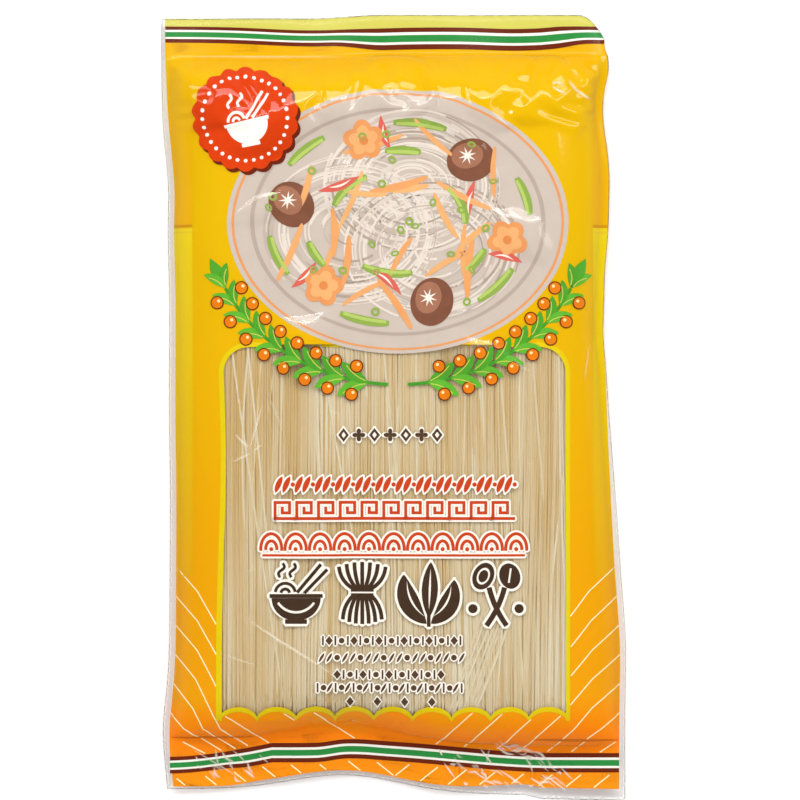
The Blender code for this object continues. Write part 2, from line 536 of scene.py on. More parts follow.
@dataclass(frozen=True)
class PackShape:
    """The sealed pack's form: the same sizes and formulas as its solid, worked out for whole arrays.

    The sways, the dip's spread and the fin are the film's own, up to 2 mm, and the solid leaves them out.
    """

    length: float = 302.0
    width: float = 177.6
    height: float = 21.0
    side_weld: float = 3.5
    top_seal: float = 16.0
    bottom_seal: float = 20.0
    top_narrowing: float = 1.0
    waist: float = 3.6
    waist_place: float = 0.15
    waist_span: float = 0.45
    lean: float = 2.4
    lean_turn: float = 1.9
    lean_offset: float = -0.9
    right_ripple: float = 1.2
    right_ripple_turn: float = 15.0
    right_ripple_crest: float = 0.585
    right_ripple_place: float = 0.6
    right_ripple_span: float = 0.32
    left_flare: float = 1.7
    left_flare_place: float = -0.82
    left_flare_span: float = 0.12
    bottom_arch: float = 6.5
    bottom_arch_centre: float = -19.0
    bottom_arch_span: float = 30.0
    bottom_slant: float = 1.6
    bottom_fade: float = 48.0
    fin: float = 1.4
    fin_start: float = 50.0
    fin_rise: float = 9.0
    fin_depth: float = 0.025
    top_dip: float = 1.4
    top_dip_end: float = -4.0
    top_dip_slope: float = 30.0
    top_fade: float = 40.0
    left_sways: tuple[Sway, ...] = (Sway(6.0, 38.0, -1.6), Sway(86.0, 16.0, 1.3), Sway(-134.0, 13.0, -0.8))
    right_sways: tuple[Sway, ...] = (
        *(Sway(146.0, 8.0, -1.8), Sway(130.0, 6.0, 0.9), Sway(112.0, 13.0, -0.8)),
        *(Sway(65.0, 15.0, 1.8), Sway(28.0, 11.0, -0.8), Sway(-93.0, 20.0, 0.9)),
    )
    corner_cut: float = 11.0
    corner_start: float = 72.0
    corner_span: float = 11.0
    weld_height: float = 5.0
    rim_edge_height: float = 3.4
    weld_droop: float = 0.6
    seal_wave: float = 0.8
    seal_waves_across: float = 3.1
    side_climb: float = 27.0
    top_climb: float = 28.0
    bottom_climb: float = 18.0
    back_climb: float = 13.0
    crown: float = 0.10
    sheaves: int = 5
    sheaf_dip: float = 0.35

    def half_width(self, v: Array) -> Array:
        """Half the pack's width at v: full at the seals, and drawn in between them by the bundle."""
        waist = self.waist * bell(v - self.waist_place, self.waist_span)
        return self.width / 2.0 - self.top_narrowing * (1.0 + v) - waist

    def middle(self, v: Array) -> Array:
        """The X of the sleeve's middle line at v: it leans a little to and fro."""
        return self.lean_offset - self.lean * np.sin(self.lean_turn * v)

    def across(self, u: Array, v: Array) -> Array:
        """Finds X: the middle line, plus u times half the width, with the uneven long edges.

        Args:
            u: places across, from -1 to 1.
            v: places along, from -1 to 1.

        Returns:
            The X of each place.
        """
        y = v * self.length / 2.0
        ripple = np.cos(self.right_ripple_turn * (v - self.right_ripple_crest))
        right = self.right_ripple * ripple * bell(v - self.right_ripple_place, self.right_ripple_span)
        left = -self.left_flare * bell(v - self.left_flare_place, self.left_flare_span)
        right = right + sum(sway.shift * bell(y - sway.place, sway.reach) for sway in self.right_sways)
        left = left + sum(sway.shift * bell(y - sway.place, sway.reach) for sway in self.left_sways)
        return self.middle(v) + u * self.half_width(v) + clamp(u) ** 2 * right + clamp(-u) ** 2 * left

    def along(self, x: Array, v: Array) -> Array:
        """Finds Y: even steps in v, moved near the ends by the arched, slanted seals.

        Args:
            x: the X of each place.
            v: places along, from -1 to 1.

        Returns:
            The Y of each place.
        """
        half = self.length / 2.0
        arch = self.bottom_arch * bell(x - self.bottom_arch_centre, self.bottom_arch_span)
        slant = -self.bottom_slant * x / (self.width / 2.0)
        dip = self.top_dip * eased((self.top_dip_end - x) / self.top_dip_slope)
        fin = self.fin * eased((x - self.fin_start) / self.fin_rise)
        fin = fin * clamp((self.fin_depth - 1.0 - v) / self.fin_depth)
        corner = self.corner_cut * clamp((x - self.corner_start) / self.corner_span) ** 2
        from_bottom = (1.0 + v) * half - self.bottom_seal
        from_top = (1.0 - v) * half - self.top_seal
        near_bottom = 1.0 - eased(from_bottom / (self.bottom_fade - self.bottom_seal))
        near_top = 1.0 - eased(from_top / (self.top_fade - self.top_seal))
        at_corner = clamp(-from_top / self.top_seal)
        straight = v * half + self.bottom_slant / 2.0
        return straight + near_bottom * (arch + slant) - near_top * dip - at_corner * corner - fin

    def rim_distances(self, u: Array, v: Array) -> tuple[Array, Array, Array]:
        """How far in (u, v) is from the side weld, the top seal and the bottom seal."""
        half = self.length / 2.0
        side = (1.0 - np.abs(u)) * self.half_width(v) - self.side_weld
        return side, (1.0 - v) * half - self.top_seal, (1.0 + v) * half - self.bottom_seal

    def rim_height(self, u: Array, v: Array) -> Array:
        """The height of the flat rims, lower and gently waved towards their free edges."""
        side, top, bottom = self.rim_distances(u, v)
        past_seal = clamp(-np.minimum(top, bottom) / self.top_seal)
        past_weld = clamp(-side / self.side_weld)
        droop = np.maximum(past_seal, self.weld_droop * past_weld)
        wave = self.seal_wave * past_seal * np.sin(math.pi * self.seal_waves_across * u + 0.8 * v)
        return self.weld_height + (self.rim_edge_height - self.weld_height) * droop + wave

    def fullness(self, u: Array, v: Array) -> Array:
        """The share of the bundle's height that the front has at (u, v): 0 on a rim, 1 well inside."""
        side, top, bottom = self.rim_distances(u, v)
        share = climb(side, self.side_climb) * climb(top, self.top_climb)
        return share * climb(bottom, self.bottom_climb)

    def front(self, u: Array, v: Array) -> Array:
        """The height of the front: the rim's, plus the crowned and sheaved bundle times its fullness."""
        rim = self.rim_height(u, v)
        crown = 1.0 - self.crown * (u * u + 0.5 * v * v)
        body = (self.height - self.sheaf_dip - rim) * crown
        body = body + self.sheaf_dip * np.cos(math.pi * self.sheaves * u)
        return rim + body * self.fullness(u, v)

    def back(self, u: Array, v: Array) -> Array:
        """The height of the back: flat on the table under the bundle, and raised to the rims round it."""
        side, top, bottom = self.rim_distances(u, v)
        share = climb(side, self.back_climb) * climb(top, self.back_climb)
        return self.rim_height(u, v) * (1.0 - share * climb(bottom, self.back_climb))

    def locate(self, x: Array, y: Array) -> tuple[Array, Array]:
        """The (u, v) of a place in plan: a few rounds that each take off what the last one missed by.

        Args:
            x: places across, in millimetres.
            y: places along, in millimetres.

        Returns:
            The u and v of each place.
        """
        v = y / (self.length / 2.0)
        step = 0.001
        for _ in range(6):
            reached = self.along(x, v)
            v = v + (y - reached) * step / (self.along(x, v + step) - reached)
        u = (x - self.middle(v)) / self.half_width(v)
        for _ in range(4):
            u = u + (x - self.across(u, v)) / self.half_width(v)
        return np.clip(u, -1.0, 1.0), np.clip(v, -1.0, 1.0)


@dataclass(frozen=True)
class Crease:
    """A sharp crease that has whitened the film, its white partly painted highlight: its ends, how white it
    is, half its width and its bow.
    """

    start: Place
    end: Place
    strength: float
    width: float = 0.6
    bow: float = 0.0

    def patch(self) -> tuple[Array, Array, Array]:
        """Lays the crease out as a strip that bows and tapers as sines.

        Returns:
            X, Y and a tone that is cos^2 across it.
        """
        east, north = self.end[0] - self.start[0], self.end[1] - self.start[1]
        length = math.hypot(east, north)
        s = np.linspace(0.0, 1.0, max(8, int(length / 0.8)))[:, None]
        t = np.linspace(-1.0, 1.0, 7)[None, :]
        swell = np.sin(math.pi * s)
        aside = self.bow * swell + self.width * (0.25 + 0.75 * swell) * t
        x = self.start[0] + east * s - north / length * aside
        y = self.start[1] + north * s + east / length * aside
        return x, y, self.strength * swell**0.5 * np.cos(0.5 * math.pi * t) ** 2


@dataclass(frozen=True)
class Crumple:
    """A patch of short creases at random places round a centre, turned roughly one way, in degrees."""

    centre: Place
    reach: Place
    count: int
    turn: float

    def creases(self, rng: np.random.Generator) -> list[Crease]:
        """Draws the patch's creases.

        Args:
            rng: source of their places, lengths and looks.

        Returns:
            The creases.
        """
        middle = np.array(self.centre) + rng.uniform(-1.0, 1.0, (self.count, 2)) * self.reach
        angle = np.radians(rng.normal(self.turn, 24.0, self.count))
        half = np.stack([np.cos(angle), np.sin(angle)], axis=1) * rng.uniform(1.0, 4.2, (self.count, 1))
        spans = ((0.35, 0.85), (0.5, 1.0), (-1.2, 1.2))
        looks = np.stack([rng.uniform(*span, self.count) for span in spans], axis=1)
        return [Crease(low, high, *look) for low, high, look in zip(middle - half, middle + half, looks)]


@dataclass(frozen=True)
class Spare:
    """A region where the film is longer than the way it has to cover, so that it crumples.

    A share of 0.03 is 3 mm of spare film in each 100 mm. A region mirrored in x is on both sides.
    """

    centre: Place
    reach: Place
    across: float
    along: float
    mirrored: bool = False

    def share(self, x: Array, y: Array) -> Array:
        """How much the region counts at each place: one bell across times one along."""
        east = np.abs(x) if self.mirrored else x
        return bell(east - self.centre[0], self.reach[0]) * bell(y - self.centre[1], self.reach[1])


class Threads(NamedTuple):
    """A family of springs over the whole net: the points at both ends, their lengths and their grip."""

    near: tuple[slice, slice]
    far: tuple[slice, slice]
    length: Array
    grip: float


@dataclass(frozen=True)
class FilmSettling:
    """Settles the film over the bundle as a net of threads that keep their length and bend easily.

    Each step lets the net coast, draws it down a little, brings every thread back to its length, evens
    out the sharpest bends, and keeps it on or above the bundle. Below the top seal, trapped air puffs it
    up instead. Spare length has nowhere to go but into folds, as it does on a real pack.
    """

    everywhere: tuple[float, float] = (0.0012, 0.0018)
    spares: tuple[Spare, ...] = (
        Spare((0.0, 119.0), (400.0, 12.0), 0.0, 0.070),
        Spare((0.0, 123.0), (400.0, 11.0), 0.050, 0.0),
        Spare((66.0, 121.0), (20.0, 12.0), 0.020, 0.030, mirrored=True),
        Spare((0.0, -124.0), (400.0, 8.0), 0.022, 0.018),
        Spare((80.0, 0.0), (6.0, 400.0), 0.0, 0.006, mirrored=True),
    )
    steps: int = 260
    passes: int = 2
    bend: float = 0.0006
    glide: float = 0.9
    reach_on: float = 1.5
    diagonal_grip: float = 0.5
    pull: float = 0.0012
    sink: float = 0.12
    seal_sink: float = 0.25
    seal_sink_below: float = 4.0
    seal_sink_reach: float = 7.0
    puff: float = 1.3
    puff_below: float = 15.0
    puff_reach: float = 16.0
    start_noise: tuple[tuple[float, float], ...] = ((8.0, 1.2), (4.5, 0.9), (2.5, 0.5))
    seed: int = 4

    def spare(self, x: Array, y: Array) -> tuple[Array, Array]:
        """Adds up the spare length of all the regions.

        Args:
            x: places across, in millimetres.
            y: places along, in millimetres.

        Returns:
            The share of spare length across and along at each place.
        """
        across = np.full_like(x, self.everywhere[0])
        along = np.full_like(x, self.everywhere[1])
        for region in self.spares:
            share = region.share(x, y)
            across = across + region.across * share
            along = along + region.along * share
        return across, along

    def threads(self, smooth: Array) -> list[Threads]:
        """Makes the net's threads: across, along and on both diagonals.

        Args:
            smooth: the net's points at the start.

        Returns:
            The four families, each with its spare length.
        """
        rows, columns = smooth.shape[:2]
        across, along = self.spare(smooth[..., 0], smooth[..., 1])
        both = 0.5 * (across + along)
        families = []
        for down, right, spare, grip in (
            (0, 1, across, 1.0),
            (1, 0, along, 1.0),
            (1, 1, both, self.diagonal_grip),
            (1, -1, both, self.diagonal_grip),
        ):
            first, last = max(0, -right), max(0, right)
            near = (slice(0, rows - down), slice(first, columns - last))
            far = (slice(down, rows), slice(last, columns - first))
            length = np.linalg.norm(smooth[far] - smooth[near], axis=-1)
            families.append(Threads(near, far, length * (1.0 + 0.5 * (spare[near] + spare[far])), grip))
        return families

    def drawn_in(self, points: Array, families: Sequence[Threads], free: Array) -> Array:
        """The points, each moved by the mean of what its threads ask, and a bit further.

        Args:
            points: the net.
            families: its threads.
            free: 1 where a point may move, and 0 on the welds.

        Returns:
            The moved net.
        """
        asked = np.zeros_like(points)
        count = np.zeros_like(free)
        for near, far, length, grip in families:
            gap = points[far] - points[near]
            now = np.linalg.norm(gap, axis=-1)
            ends = np.maximum(free[near] + free[far], 1.0)
            fix = gap * (grip * (now - length) / now)[..., None] / ends
            asked[near] += fix * free[near]
            asked[far] -= fix * free[far]
            count[near] += 1.0
            count[far] += 1.0
        return points + self.reach_on * asked / count

    def unevenness(self, free: Array) -> Array:
        """The small bumps that the film starts with: layers of smooth noise."""
        rng = np.random.default_rng(self.seed)
        rows, columns = free.shape[:2]
        column, row = np.meshgrid(np.arange(columns), np.arange(rows))
        bumps = sum(height * value_noise(column / cell, row / cell, rng) for cell, height in self.start_noise)
        return bumps * free[..., 0]

    def settled(self, smooth: Array, free: Array, top_seal: float) -> Array:
        """The film at rest.

        Args:
            smooth: the pack's smooth front as a grid of points, in millimetres.
            free: 1 where the film may move and 0 where it is welded, with one more axis.
            top_seal: Y of the top seal's lower edge, near which the film may sink more.

        Returns:
            The grid of the settled film.
        """
        families = self.threads(smooth)
        y = smooth[..., 1]
        lowest = smooth[..., 2] - self.sink
        lowest = lowest - self.seal_sink * bell(y - top_seal + self.seal_sink_below, self.seal_sink_reach)
        lowest = np.where(free[..., 0] > 0.0, lowest, -1.0)
        puff = self.puff * bell(y - top_seal + self.puff_below, self.puff_reach)
        pull = self.pull * free[..., 0] * (1.0 - puff)
        points = smooth.copy()
        points[..., 2] += self.unevenness(free)
        speed = np.zeros_like(points)
        for _ in range(self.steps):
            moved = points + speed
            moved[..., 2] -= pull
            for _ in range(self.passes):
                moved = self.drawn_in(moved, families, free)
            moved = moved - self.bend * free * unevened(unevened(moved - smooth))
            moved[..., 2] = np.maximum(moved[..., 2], lowest)
            speed = self.glide * (moved - points)
            points = moved
        return points


def unevened(values: Array) -> Array:
    """How far each point's four neighbours stand from it, summed: the grid's Laplacian, 0 on its rim."""
    result = np.zeros_like(values)
    around = values[2:, 1:-1] + values[:-2, 1:-1] + values[1:-1, 2:] + values[1:-1, :-2]
    result[1:-1, 1:-1] = around - 4.0 * values[1:-1, 1:-1]
    return result


class FilmSkin:
    """One side of the sleeve as a grid of points, which the film and every ink are laid on."""

    def __init__(self, shape: PackShape, points: Array, front: bool) -> None:
        """Keeps the grid and works out its normals.

        Args:
            shape: the pack's form.
            points: the grid, whose columns run evenly in u and rows evenly in v.
            front: the printed front, or else the back.
        """
        self.shape = shape
        self.points = points
        self.front = front
        normals = np.cross(np.gradient(points, axis=1), np.gradient(points, axis=0))
        normals = normals / np.linalg.norm(normals, axis=-1, keepdims=True)
        self.normals = normals if front else -normals

    def lifted(self, lift: float) -> Array:
        """The grid, lifted off itself everywhere but at its rim, where both sides are welded."""
        rows, columns = self.points.shape[:2]
        u, v = np.meshgrid(np.linspace(-1.0, 1.0, columns), np.linspace(-1.0, 1.0, rows))
        inward = clamp(np.minimum(1.0 - np.abs(u), 1.0 - np.abs(v)) * 90.0)
        return self.points + self.normals * (lift * inward)[..., None]

    def evened(self, rounds: int) -> "FilmSkin":
        """The skin with its sharpest bends evened out, as the inks' own thickness does.

        Args:
            rounds: how often each point moves an eighth of the way towards its neighbours.

        Returns:
            The new skin.
        """
        points = self.points
        for _ in range(rounds):
            points = points + 0.125 * unevened(points)
        return FilmSkin(self.shape, points, self.front)

    def lay(self, x: Array, y: Array, lift: float | Array) -> Array:
        """Lays plan places on the skin: the grid's points and normals, read between their neighbours.

        Args:
            x: places across, in millimetres.
            y: places along, in millimetres.
            lift: how far they stand off the skin.

        Returns:
            The points, with one more axis of 3.
        """
        u, v = self.shape.locate(x, y)
        rows, columns = self.points.shape[:2]
        column = (u + 1.0) / 2.0 * (columns - 1)
        row = (v + 1.0) / 2.0 * (rows - 1)
        left = np.clip(np.floor(column).astype(int), 0, columns - 2)
        low = np.clip(np.floor(row).astype(int), 0, rows - 2)
        right_share = (column - left)[..., None]
        high_share = (row - low)[..., None]
        lift = np.asarray(lift)[..., None]
        laid = np.zeros(u.shape + (3,))
        for down, weight in ((0, 1.0 - high_share), (1, high_share)):
            for right, part in ((0, 1.0 - right_share), (1, right_share)):
                corner = self.points[low + down, left + right] + lift * self.normals[low + down, left + right]
                laid = laid + weight * part * corner
        return laid


# ---- Strokes and fields of ink ----


PATCH_STEP = 0.9  # the largest spacing of the grids that strokes and fields are made of


def heading(degrees: float) -> Array:
    """The unit vector of a direction in plan, counted from +X towards +Y."""
    angle = math.radians(degrees)
    return np.array([math.cos(angle), math.sin(angle)])


def turned(points: Array, degrees: float) -> Array:
    """Points in plan, turned about the origin."""
    east, north = heading(degrees)
    return points @ np.array([[east, north], [-north, east]])


@dataclass(frozen=True)
class Stroke:
    """A stroke of ink: a centre line in plan, with half the stroke's width at each of its points."""

    centre: Array
    half: Array

    def grown(self, margin: float) -> "Stroke":
        """Grows the stroke on all sides, for the pale edge that is printed behind it.

        Args:
            margin: how far, in millimetres.

        Returns:
            The wider, longer stroke.
        """
        ends = np.diff(self.centre, axis=0)
        first = ends[0] / np.linalg.norm(ends[0])
        last = ends[-1] / np.linalg.norm(ends[-1])
        centre = np.vstack([self.centre[:1] - margin * first, self.centre, self.centre[-1:] + margin * last])
        half = np.concatenate([[0.5 * margin], self.half + margin, [0.5 * margin]])
        return Stroke(centre, half)

    def placed(self, place: Place, degrees: float = 0.0, size: float = 1.0) -> "Stroke":
        """The stroke, sized and turned about its own origin and moved to a place."""
        return Stroke(turned(self.centre * size, degrees) + np.array(place), self.half * size)

    def mirrored(self, x: float) -> "Stroke":
        """The stroke on the other side of an upright line."""
        return Stroke(self.centre * (-1.0, 1.0) + (2.0 * x, 0.0), self.half)

    def patch(self) -> tuple[Array, Array]:
        """The stroke as a grid: the centre line, moved along its normal by the half width times -1 to 1.

        Returns:
            X and Y of the grid.
        """
        tangent = np.gradient(self.centre, axis=0)
        tangent = tangent / np.maximum(np.linalg.norm(tangent, axis=1, keepdims=True), 1e-9)
        normal = np.stack([-tangent[:, 1], tangent[:, 0]], axis=1)
        count = max(2, int(math.ceil(2.0 * float(self.half.max()) / PATCH_STEP)) + 1)
        share = np.linspace(1.0, -1.0, count)
        offset = self.half[:, None] * share[None, :]
        x = self.centre[:, :1] + normal[:, :1] * offset
        y = self.centre[:, 1:] + normal[:, 1:] * offset
        return x, y


@dataclass(frozen=True)
class Round:
    """A round field of ink: a disc, an ellipse, a ring, or a flower whose edge is a row of lobes."""

    centre: Place
    radius: float
    squash: float = 1.0
    turn: float = 0.0
    hole: float = 0.0
    lobes: int = 0
    lobe_depth: float = 0.0

    def grown(self, margin: float) -> "Round":
        """The field with a margin round it and no hole, for the pale edge behind it."""
        return replace(self, radius=self.radius + margin, hole=0.0)

    def placed(self, place: Place, degrees: float = 0.0, size: float = 1.0) -> "Round":
        """The field, sized and turned about its own origin and moved to a place."""
        x, y = turned(np.array([self.centre]) * size, degrees)[0] + np.array(place)
        return replace(
            self, centre=(x, y), radius=self.radius * size, hole=self.hole * size, turn=self.turn + degrees
        )

    def mirrored(self, x: float) -> "Round":
        """The field on the other side of an upright line."""
        return replace(self, centre=(2.0 * x - self.centre[0], self.centre[1]), turn=180.0 - self.turn)

    def patch(self) -> tuple[Array, Array]:
        """The field as a polar grid: radius * (1 - depth + depth * |sin(lobes * angle / 2)|), drawn inwards.

        Returns:
            X and Y of the grid.
        """
        around = max(14, 3 * self.lobes, int(math.ceil(2.0 * math.pi * self.radius / PATCH_STEP)))
        if self.lobes:
            around = int(math.ceil(around / (4 * self.lobes))) * 4 * self.lobes
        rings = max(1, int(math.ceil((self.radius - self.hole) / PATCH_STEP)))
        angle = np.linspace(0.0, 2.0 * math.pi, around + 1)[None, :]
        bulge = np.abs(np.sin(self.lobes * angle / 2.0))
        edge = self.radius * (1.0 - self.lobe_depth + self.lobe_depth * bulge)
        share = np.linspace(1.0, 0.0, rings + 1)[:, None]
        reach = self.hole + (edge - self.hole) * share
        points = np.stack([reach * np.cos(angle), self.squash * reach * np.sin(angle)], axis=-1)
        points = turned(points, self.turn) + np.array(self.centre)
        return points[..., 0], points[..., 1]


Field = Stroke | Round


def steps(length: float, step: float = 0.8) -> int:
    """How many points a line of that length takes."""
    return max(6, int(math.ceil(length / step)) + 1)


def curved(start: Place, end: Place, bend: float) -> Array:
    """Runs points from start to end, bowed sideways along a parabola.

    Args:
        start: the first point.
        end: the last point.
        bend: how far aside the middle lies.

    Returns:
        The points.
    """
    run = np.array(end) - np.array(start)
    length = float(np.hypot(*run))
    s = np.linspace(0.0, 1.0, steps(length + abs(bend)))[:, None]
    side = np.array([-run[1], run[0]]) / max(length, 1e-9)
    return np.array(start) + s * run + 4.0 * bend * s * (1.0 - s) * side


def line(start: Place, end: Place, width: float, bend: float = 0.0) -> Stroke:
    """A line of even width, straight or bowed."""
    centre = curved(start, end, bend)
    return Stroke(centre, np.full(len(centre), width / 2.0))


def leaf(start: Place, end: Place, width: float, bend: float = 0.0, blunt: float = 1.0) -> Stroke:
    """A leaf or petal: no width at its ends, and the full width in the middle, by a power of a sine."""
    centre = curved(start, end, bend)
    s = np.linspace(0.0, 1.0, len(centre))
    return Stroke(centre, 0.5 * width * np.sin(math.pi * s) ** blunt)


def lozenge(length: float, width: float) -> Stroke:
    """An upright lozenge: its half width grows evenly to its middle and shrinks evenly again."""
    s = np.linspace(-1.0, 1.0, 9)
    return Stroke(0.5 * length * s[:, None] * heading(90.0), 0.5 * width * (1.0 - np.abs(s)))


def basin(rim: Place, width: float, depth: float) -> Stroke:
    """A bowl from the side: level at its rim and half an ellipse below it."""
    s = np.linspace(0.0, 1.0, 15)
    centre = np.stack([np.full_like(s, rim[0]), rim[1] - depth * s], axis=1)
    return Stroke(centre, 0.5 * width * np.sqrt(1.0 - s * s))


def wave(start: Place, end: Place, width: float, swing: float, count: float) -> Stroke:
    """Makes a line of even width that swings from side to side as a sine.

    Args:
        start: its first point.
        end: its last point.
        width: its width.
        swing: how far it swings.
        count: how many times it swings to and fro.

    Returns:
        The stroke.
    """
    run = np.array(end) - np.array(start)
    length = float(np.hypot(*run))
    s = np.linspace(0.0, 1.0, steps(length + 4.0 * swing * count, 0.5))[:, None]
    side = np.array([-run[1], run[0]]) / length
    centre = np.array(start) + s * run + swing * np.sin(2.0 * math.pi * count * s) * side
    return Stroke(centre, np.full(len(centre), width / 2.0))


def arc(centre: Place, radius: float, start: float, end: float, width: float, squash: float = 1.0) -> Stroke:
    """An arc of even width, from one angle in degrees to another."""
    sweep = math.radians(abs(end - start))
    angle = np.radians(np.linspace(start, end, steps(radius * sweep)))
    points = np.stack([np.cos(angle), squash * np.sin(angle)], axis=1)
    return Stroke(np.array(centre) + radius * points, np.full(len(angle), width / 2.0))


def bar_run(corners: Sequence[Place], width: float) -> list[Stroke]:
    """Makes straight bars from corner to corner, each long enough to fill the corner that it ends in.

    Args:
        corners: the corners, in order.
        width: the width of the bars.

    Returns:
        The bars.
    """
    bars = []
    for start, end in zip(corners[:-1], corners[1:]):
        over = 0.5 * width * (np.array(end) - np.array(start)) / math.dist(start, end)
        bars.append(line(tuple(np.array(start) - over), tuple(np.array(end) + over), width))
    return bars


class Layer(Enum):
    """How far each print layer stands off the skin, in millimetres, from the ground out to the film."""

    GROUND = 0.0
    BAND = 0.06
    HALO = 0.12
    SHAPE = 0.18
    DETAIL = 0.24
    TOP = 0.30
    SEAL = 0.36
    SIGN = 0.42
    FILM = 0.55
    CREASE = 0.6


class InkSheet:
    """Collects the print's shapes, ink by ink, and makes one piece for each ink."""

    overlap_mm = 0.005
    overlaps = 10

    def __init__(self, skin: FilmSkin, prefix: str) -> None:
        """Starts with nothing printed.

        Args:
            skin: the side of the sleeve that carries the print.
            prefix: start of the pieces' names.
        """
        self.skin = skin
        self.prefix = prefix
        self.makers: dict[Ink, MeshMaker] = {}
        self.printed = 0

    def lay(self, ink: Ink, x: Array, y: Array, layer: Layer, tone: float | Array = 0.5) -> None:
        """Prints a grid of plan places, a hair above the shape that was printed before it.

        Args:
            ink: its ink.
            x: its places across.
            y: its places along.
            layer: its layer.
            tone: its shade from 0, dark, to 1, light.
        """
        self.printed += 1
        lift = layer.value + self.overlap_mm * (self.printed % self.overlaps)
        grid = self.skin.lay(x, y, lift)
        self.makers.setdefault(ink, MeshMaker()).add_grid(grid, flip=not self.skin.front, tone=tone)

    def shape(
        self, ink: Ink, shape: Field, layer: Layer = Layer.SHAPE, tone: float = 0.5, halo: float = 0.0
    ) -> None:
        """Prints a stroke or a round field.

        Args:
            ink: its ink.
            shape: its outline.
            layer: its layer.
            tone: its shade from 0, dark, to 1, light.
            halo: the pale margin printed behind it, if any.
        """
        x, y = shape.patch()
        self.lay(ink, x, y, layer, tone)
        if halo > 0.0:
            x, y = shape.grown(halo).patch()
            self.lay(Ink.HALO_WHITE, x, y, Layer.HALO, 0.8)

    def make(self) -> None:
        """Makes the pieces."""
        for ink, maker in self.makers.items():
            piece = maker.make(self.prefix + ink.name.lower(), ink.finish().make())
            settle(piece)


# ---- The print's ground: window, stripes and slanting lines ----


@dataclass(frozen=True)
class Window:
    """The clear window: round top corners, a scalloped bottom edge, and a left side that swells inward."""

    left: float = -67.4
    right: float = 67.6
    top: float = 23.7
    corner: float = 10.8
    crest: float = -117.4
    cusp_drop: float = 4.4
    scallops: int = 9
    swell: float = 1.8
    swell_place: float = -22.0
    swell_span: float = 42.0
    border: tuple[float, float] = (2.3, 1.5)

    def left_edge(self, y: Array) -> Array:
        """The X of the left edge at y."""
        return self.left + self.swell * bell(y - self.swell_place, self.swell_span)

    def shoulder(self) -> float:
        """The X of the left edge where its top corner starts."""
        return float(self.left_edge(np.array(self.top - self.corner)))

    def top_edge(self, x: Array) -> Array:
        """The Y of the top edge at x: level, and a quarter circle at each corner."""
        inward = np.minimum(x - self.shoulder(), self.right - x)
        past = clamp(1.0 - inward / self.corner)
        return self.top - self.corner * (1.0 - np.sqrt(np.maximum(1.0 - past**2, 0.0)))

    def bottom_edge(self, x: Array) -> Array:
        """The Y of the bottom edge at x: a row of arches between downward cusps."""
        phase = (x - self.left) / (self.right - self.left) * self.scallops
        arch = np.sqrt(np.abs(np.sin(math.pi * phase)))
        return self.crest - self.cusp_drop * (1.0 - arch)

    def outline(self) -> Array:
        """Runs round the window's sides and top, for its border.

        Returns:
            The points, from the lower left to the lower right.
        """
        side = np.linspace(self.crest - self.cusp_drop, self.top - self.corner, 170)
        left = np.stack([self.left_edge(side), side], axis=1)
        right = np.stack([np.full_like(side, self.right), side], axis=1)[::-1]
        turn = np.linspace(math.pi, math.pi / 2.0, 20)[1:]
        corner = np.stack([np.cos(turn), np.sin(turn)], axis=1) * self.corner
        corner_left = corner + (self.shoulder() + self.corner, self.top - self.corner)
        corner_right = (corner * (-1.0, 1.0))[::-1] + (self.right - self.corner, self.top - self.corner)
        return np.concatenate([left, corner_left, corner_right, right])


def upright(x: float) -> Curve:
    """An upright edge: the same X at every Y."""
    return lambda y: np.full_like(y, x)


def level(y: float) -> Curve:
    """A level edge: the same Y at every X."""
    return lambda x: np.full_like(x, y)


class Block(NamedTuple):
    """A block of ground ink: its four edges, each a curve, and the columns and rows of its grid."""

    low: Curve
    high: Curve
    left: Curve
    right: Curve
    columns: int
    rows: int

    def patch(self) -> tuple[Array, Array]:
        """X and Y of the block's grid: even shares between its edges, found in a few rounds."""
        s, t = np.meshgrid(np.linspace(0.0, 1.0, self.columns), np.linspace(0.0, 1.0, self.rows))
        y = t * 200.0 - 100.0
        for _ in range(5):
            x = self.left(y) + (self.right(y) - self.left(y)) * s
            y = self.low(x) + (self.high(x) - self.low(x)) * t
        return x, y


class Rise(NamedTuple):
    """A gentle step in a printed line: the X where it starts, its length, and how much it climbs."""

    start: float
    length: float
    amount: float


def stepped(x: Array, rises: Sequence[Rise]) -> Array:
    """The sum of the steps at x, each eased from its start to its end."""
    return sum(rise.amount * eased((x - rise.start) / rise.length) for rise in rises)


@dataclass(frozen=True)
class Stripes:
    """A set of stripes across the pack: where its outer edge lies, and how the seal's waves bend it."""

    outer: float
    widths: tuple[float, ...]
    swells: tuple[Sway, ...]
    rises: tuple[Rise, ...]
    narrowest: float
    widenings: tuple[Rise, ...]
    left_drop: float = 0.0
    left_start: float = -47.0
    left_reach: float = 42.0

    def edge(self, x: Array) -> Array:
        """The Y of the outer edge at x: its bells and eased steps, less a quarter sine at the left end."""
        left = self.left_drop * np.sin(0.5 * math.pi * clamp((self.left_start - x) / self.left_reach))
        swells = sum(swell.shift * bell(x - swell.place, swell.reach) for swell in self.swells)
        return self.outer + swells + stepped(x, self.rises) - left

    def share(self, x: Array) -> Array:
        """How wide the stripes look at x: narrower where the seal tilts away."""
        return self.narrowest + stepped(x, self.widenings)


class Slants(NamedTuple):
    """A row of fine slanting lines: their count, the first one's start, their spacing, reach and points."""

    count: int
    start: float
    spacing: float
    reach: float
    points: int

    def lines(self) -> tuple[list[float], Array]:
        """The starts of the lines, evenly spaced, and the distances along each."""
        starts = [self.start - self.spacing * number for number in range(self.count)]
        return starts, np.linspace(0.0, self.reach, self.points)


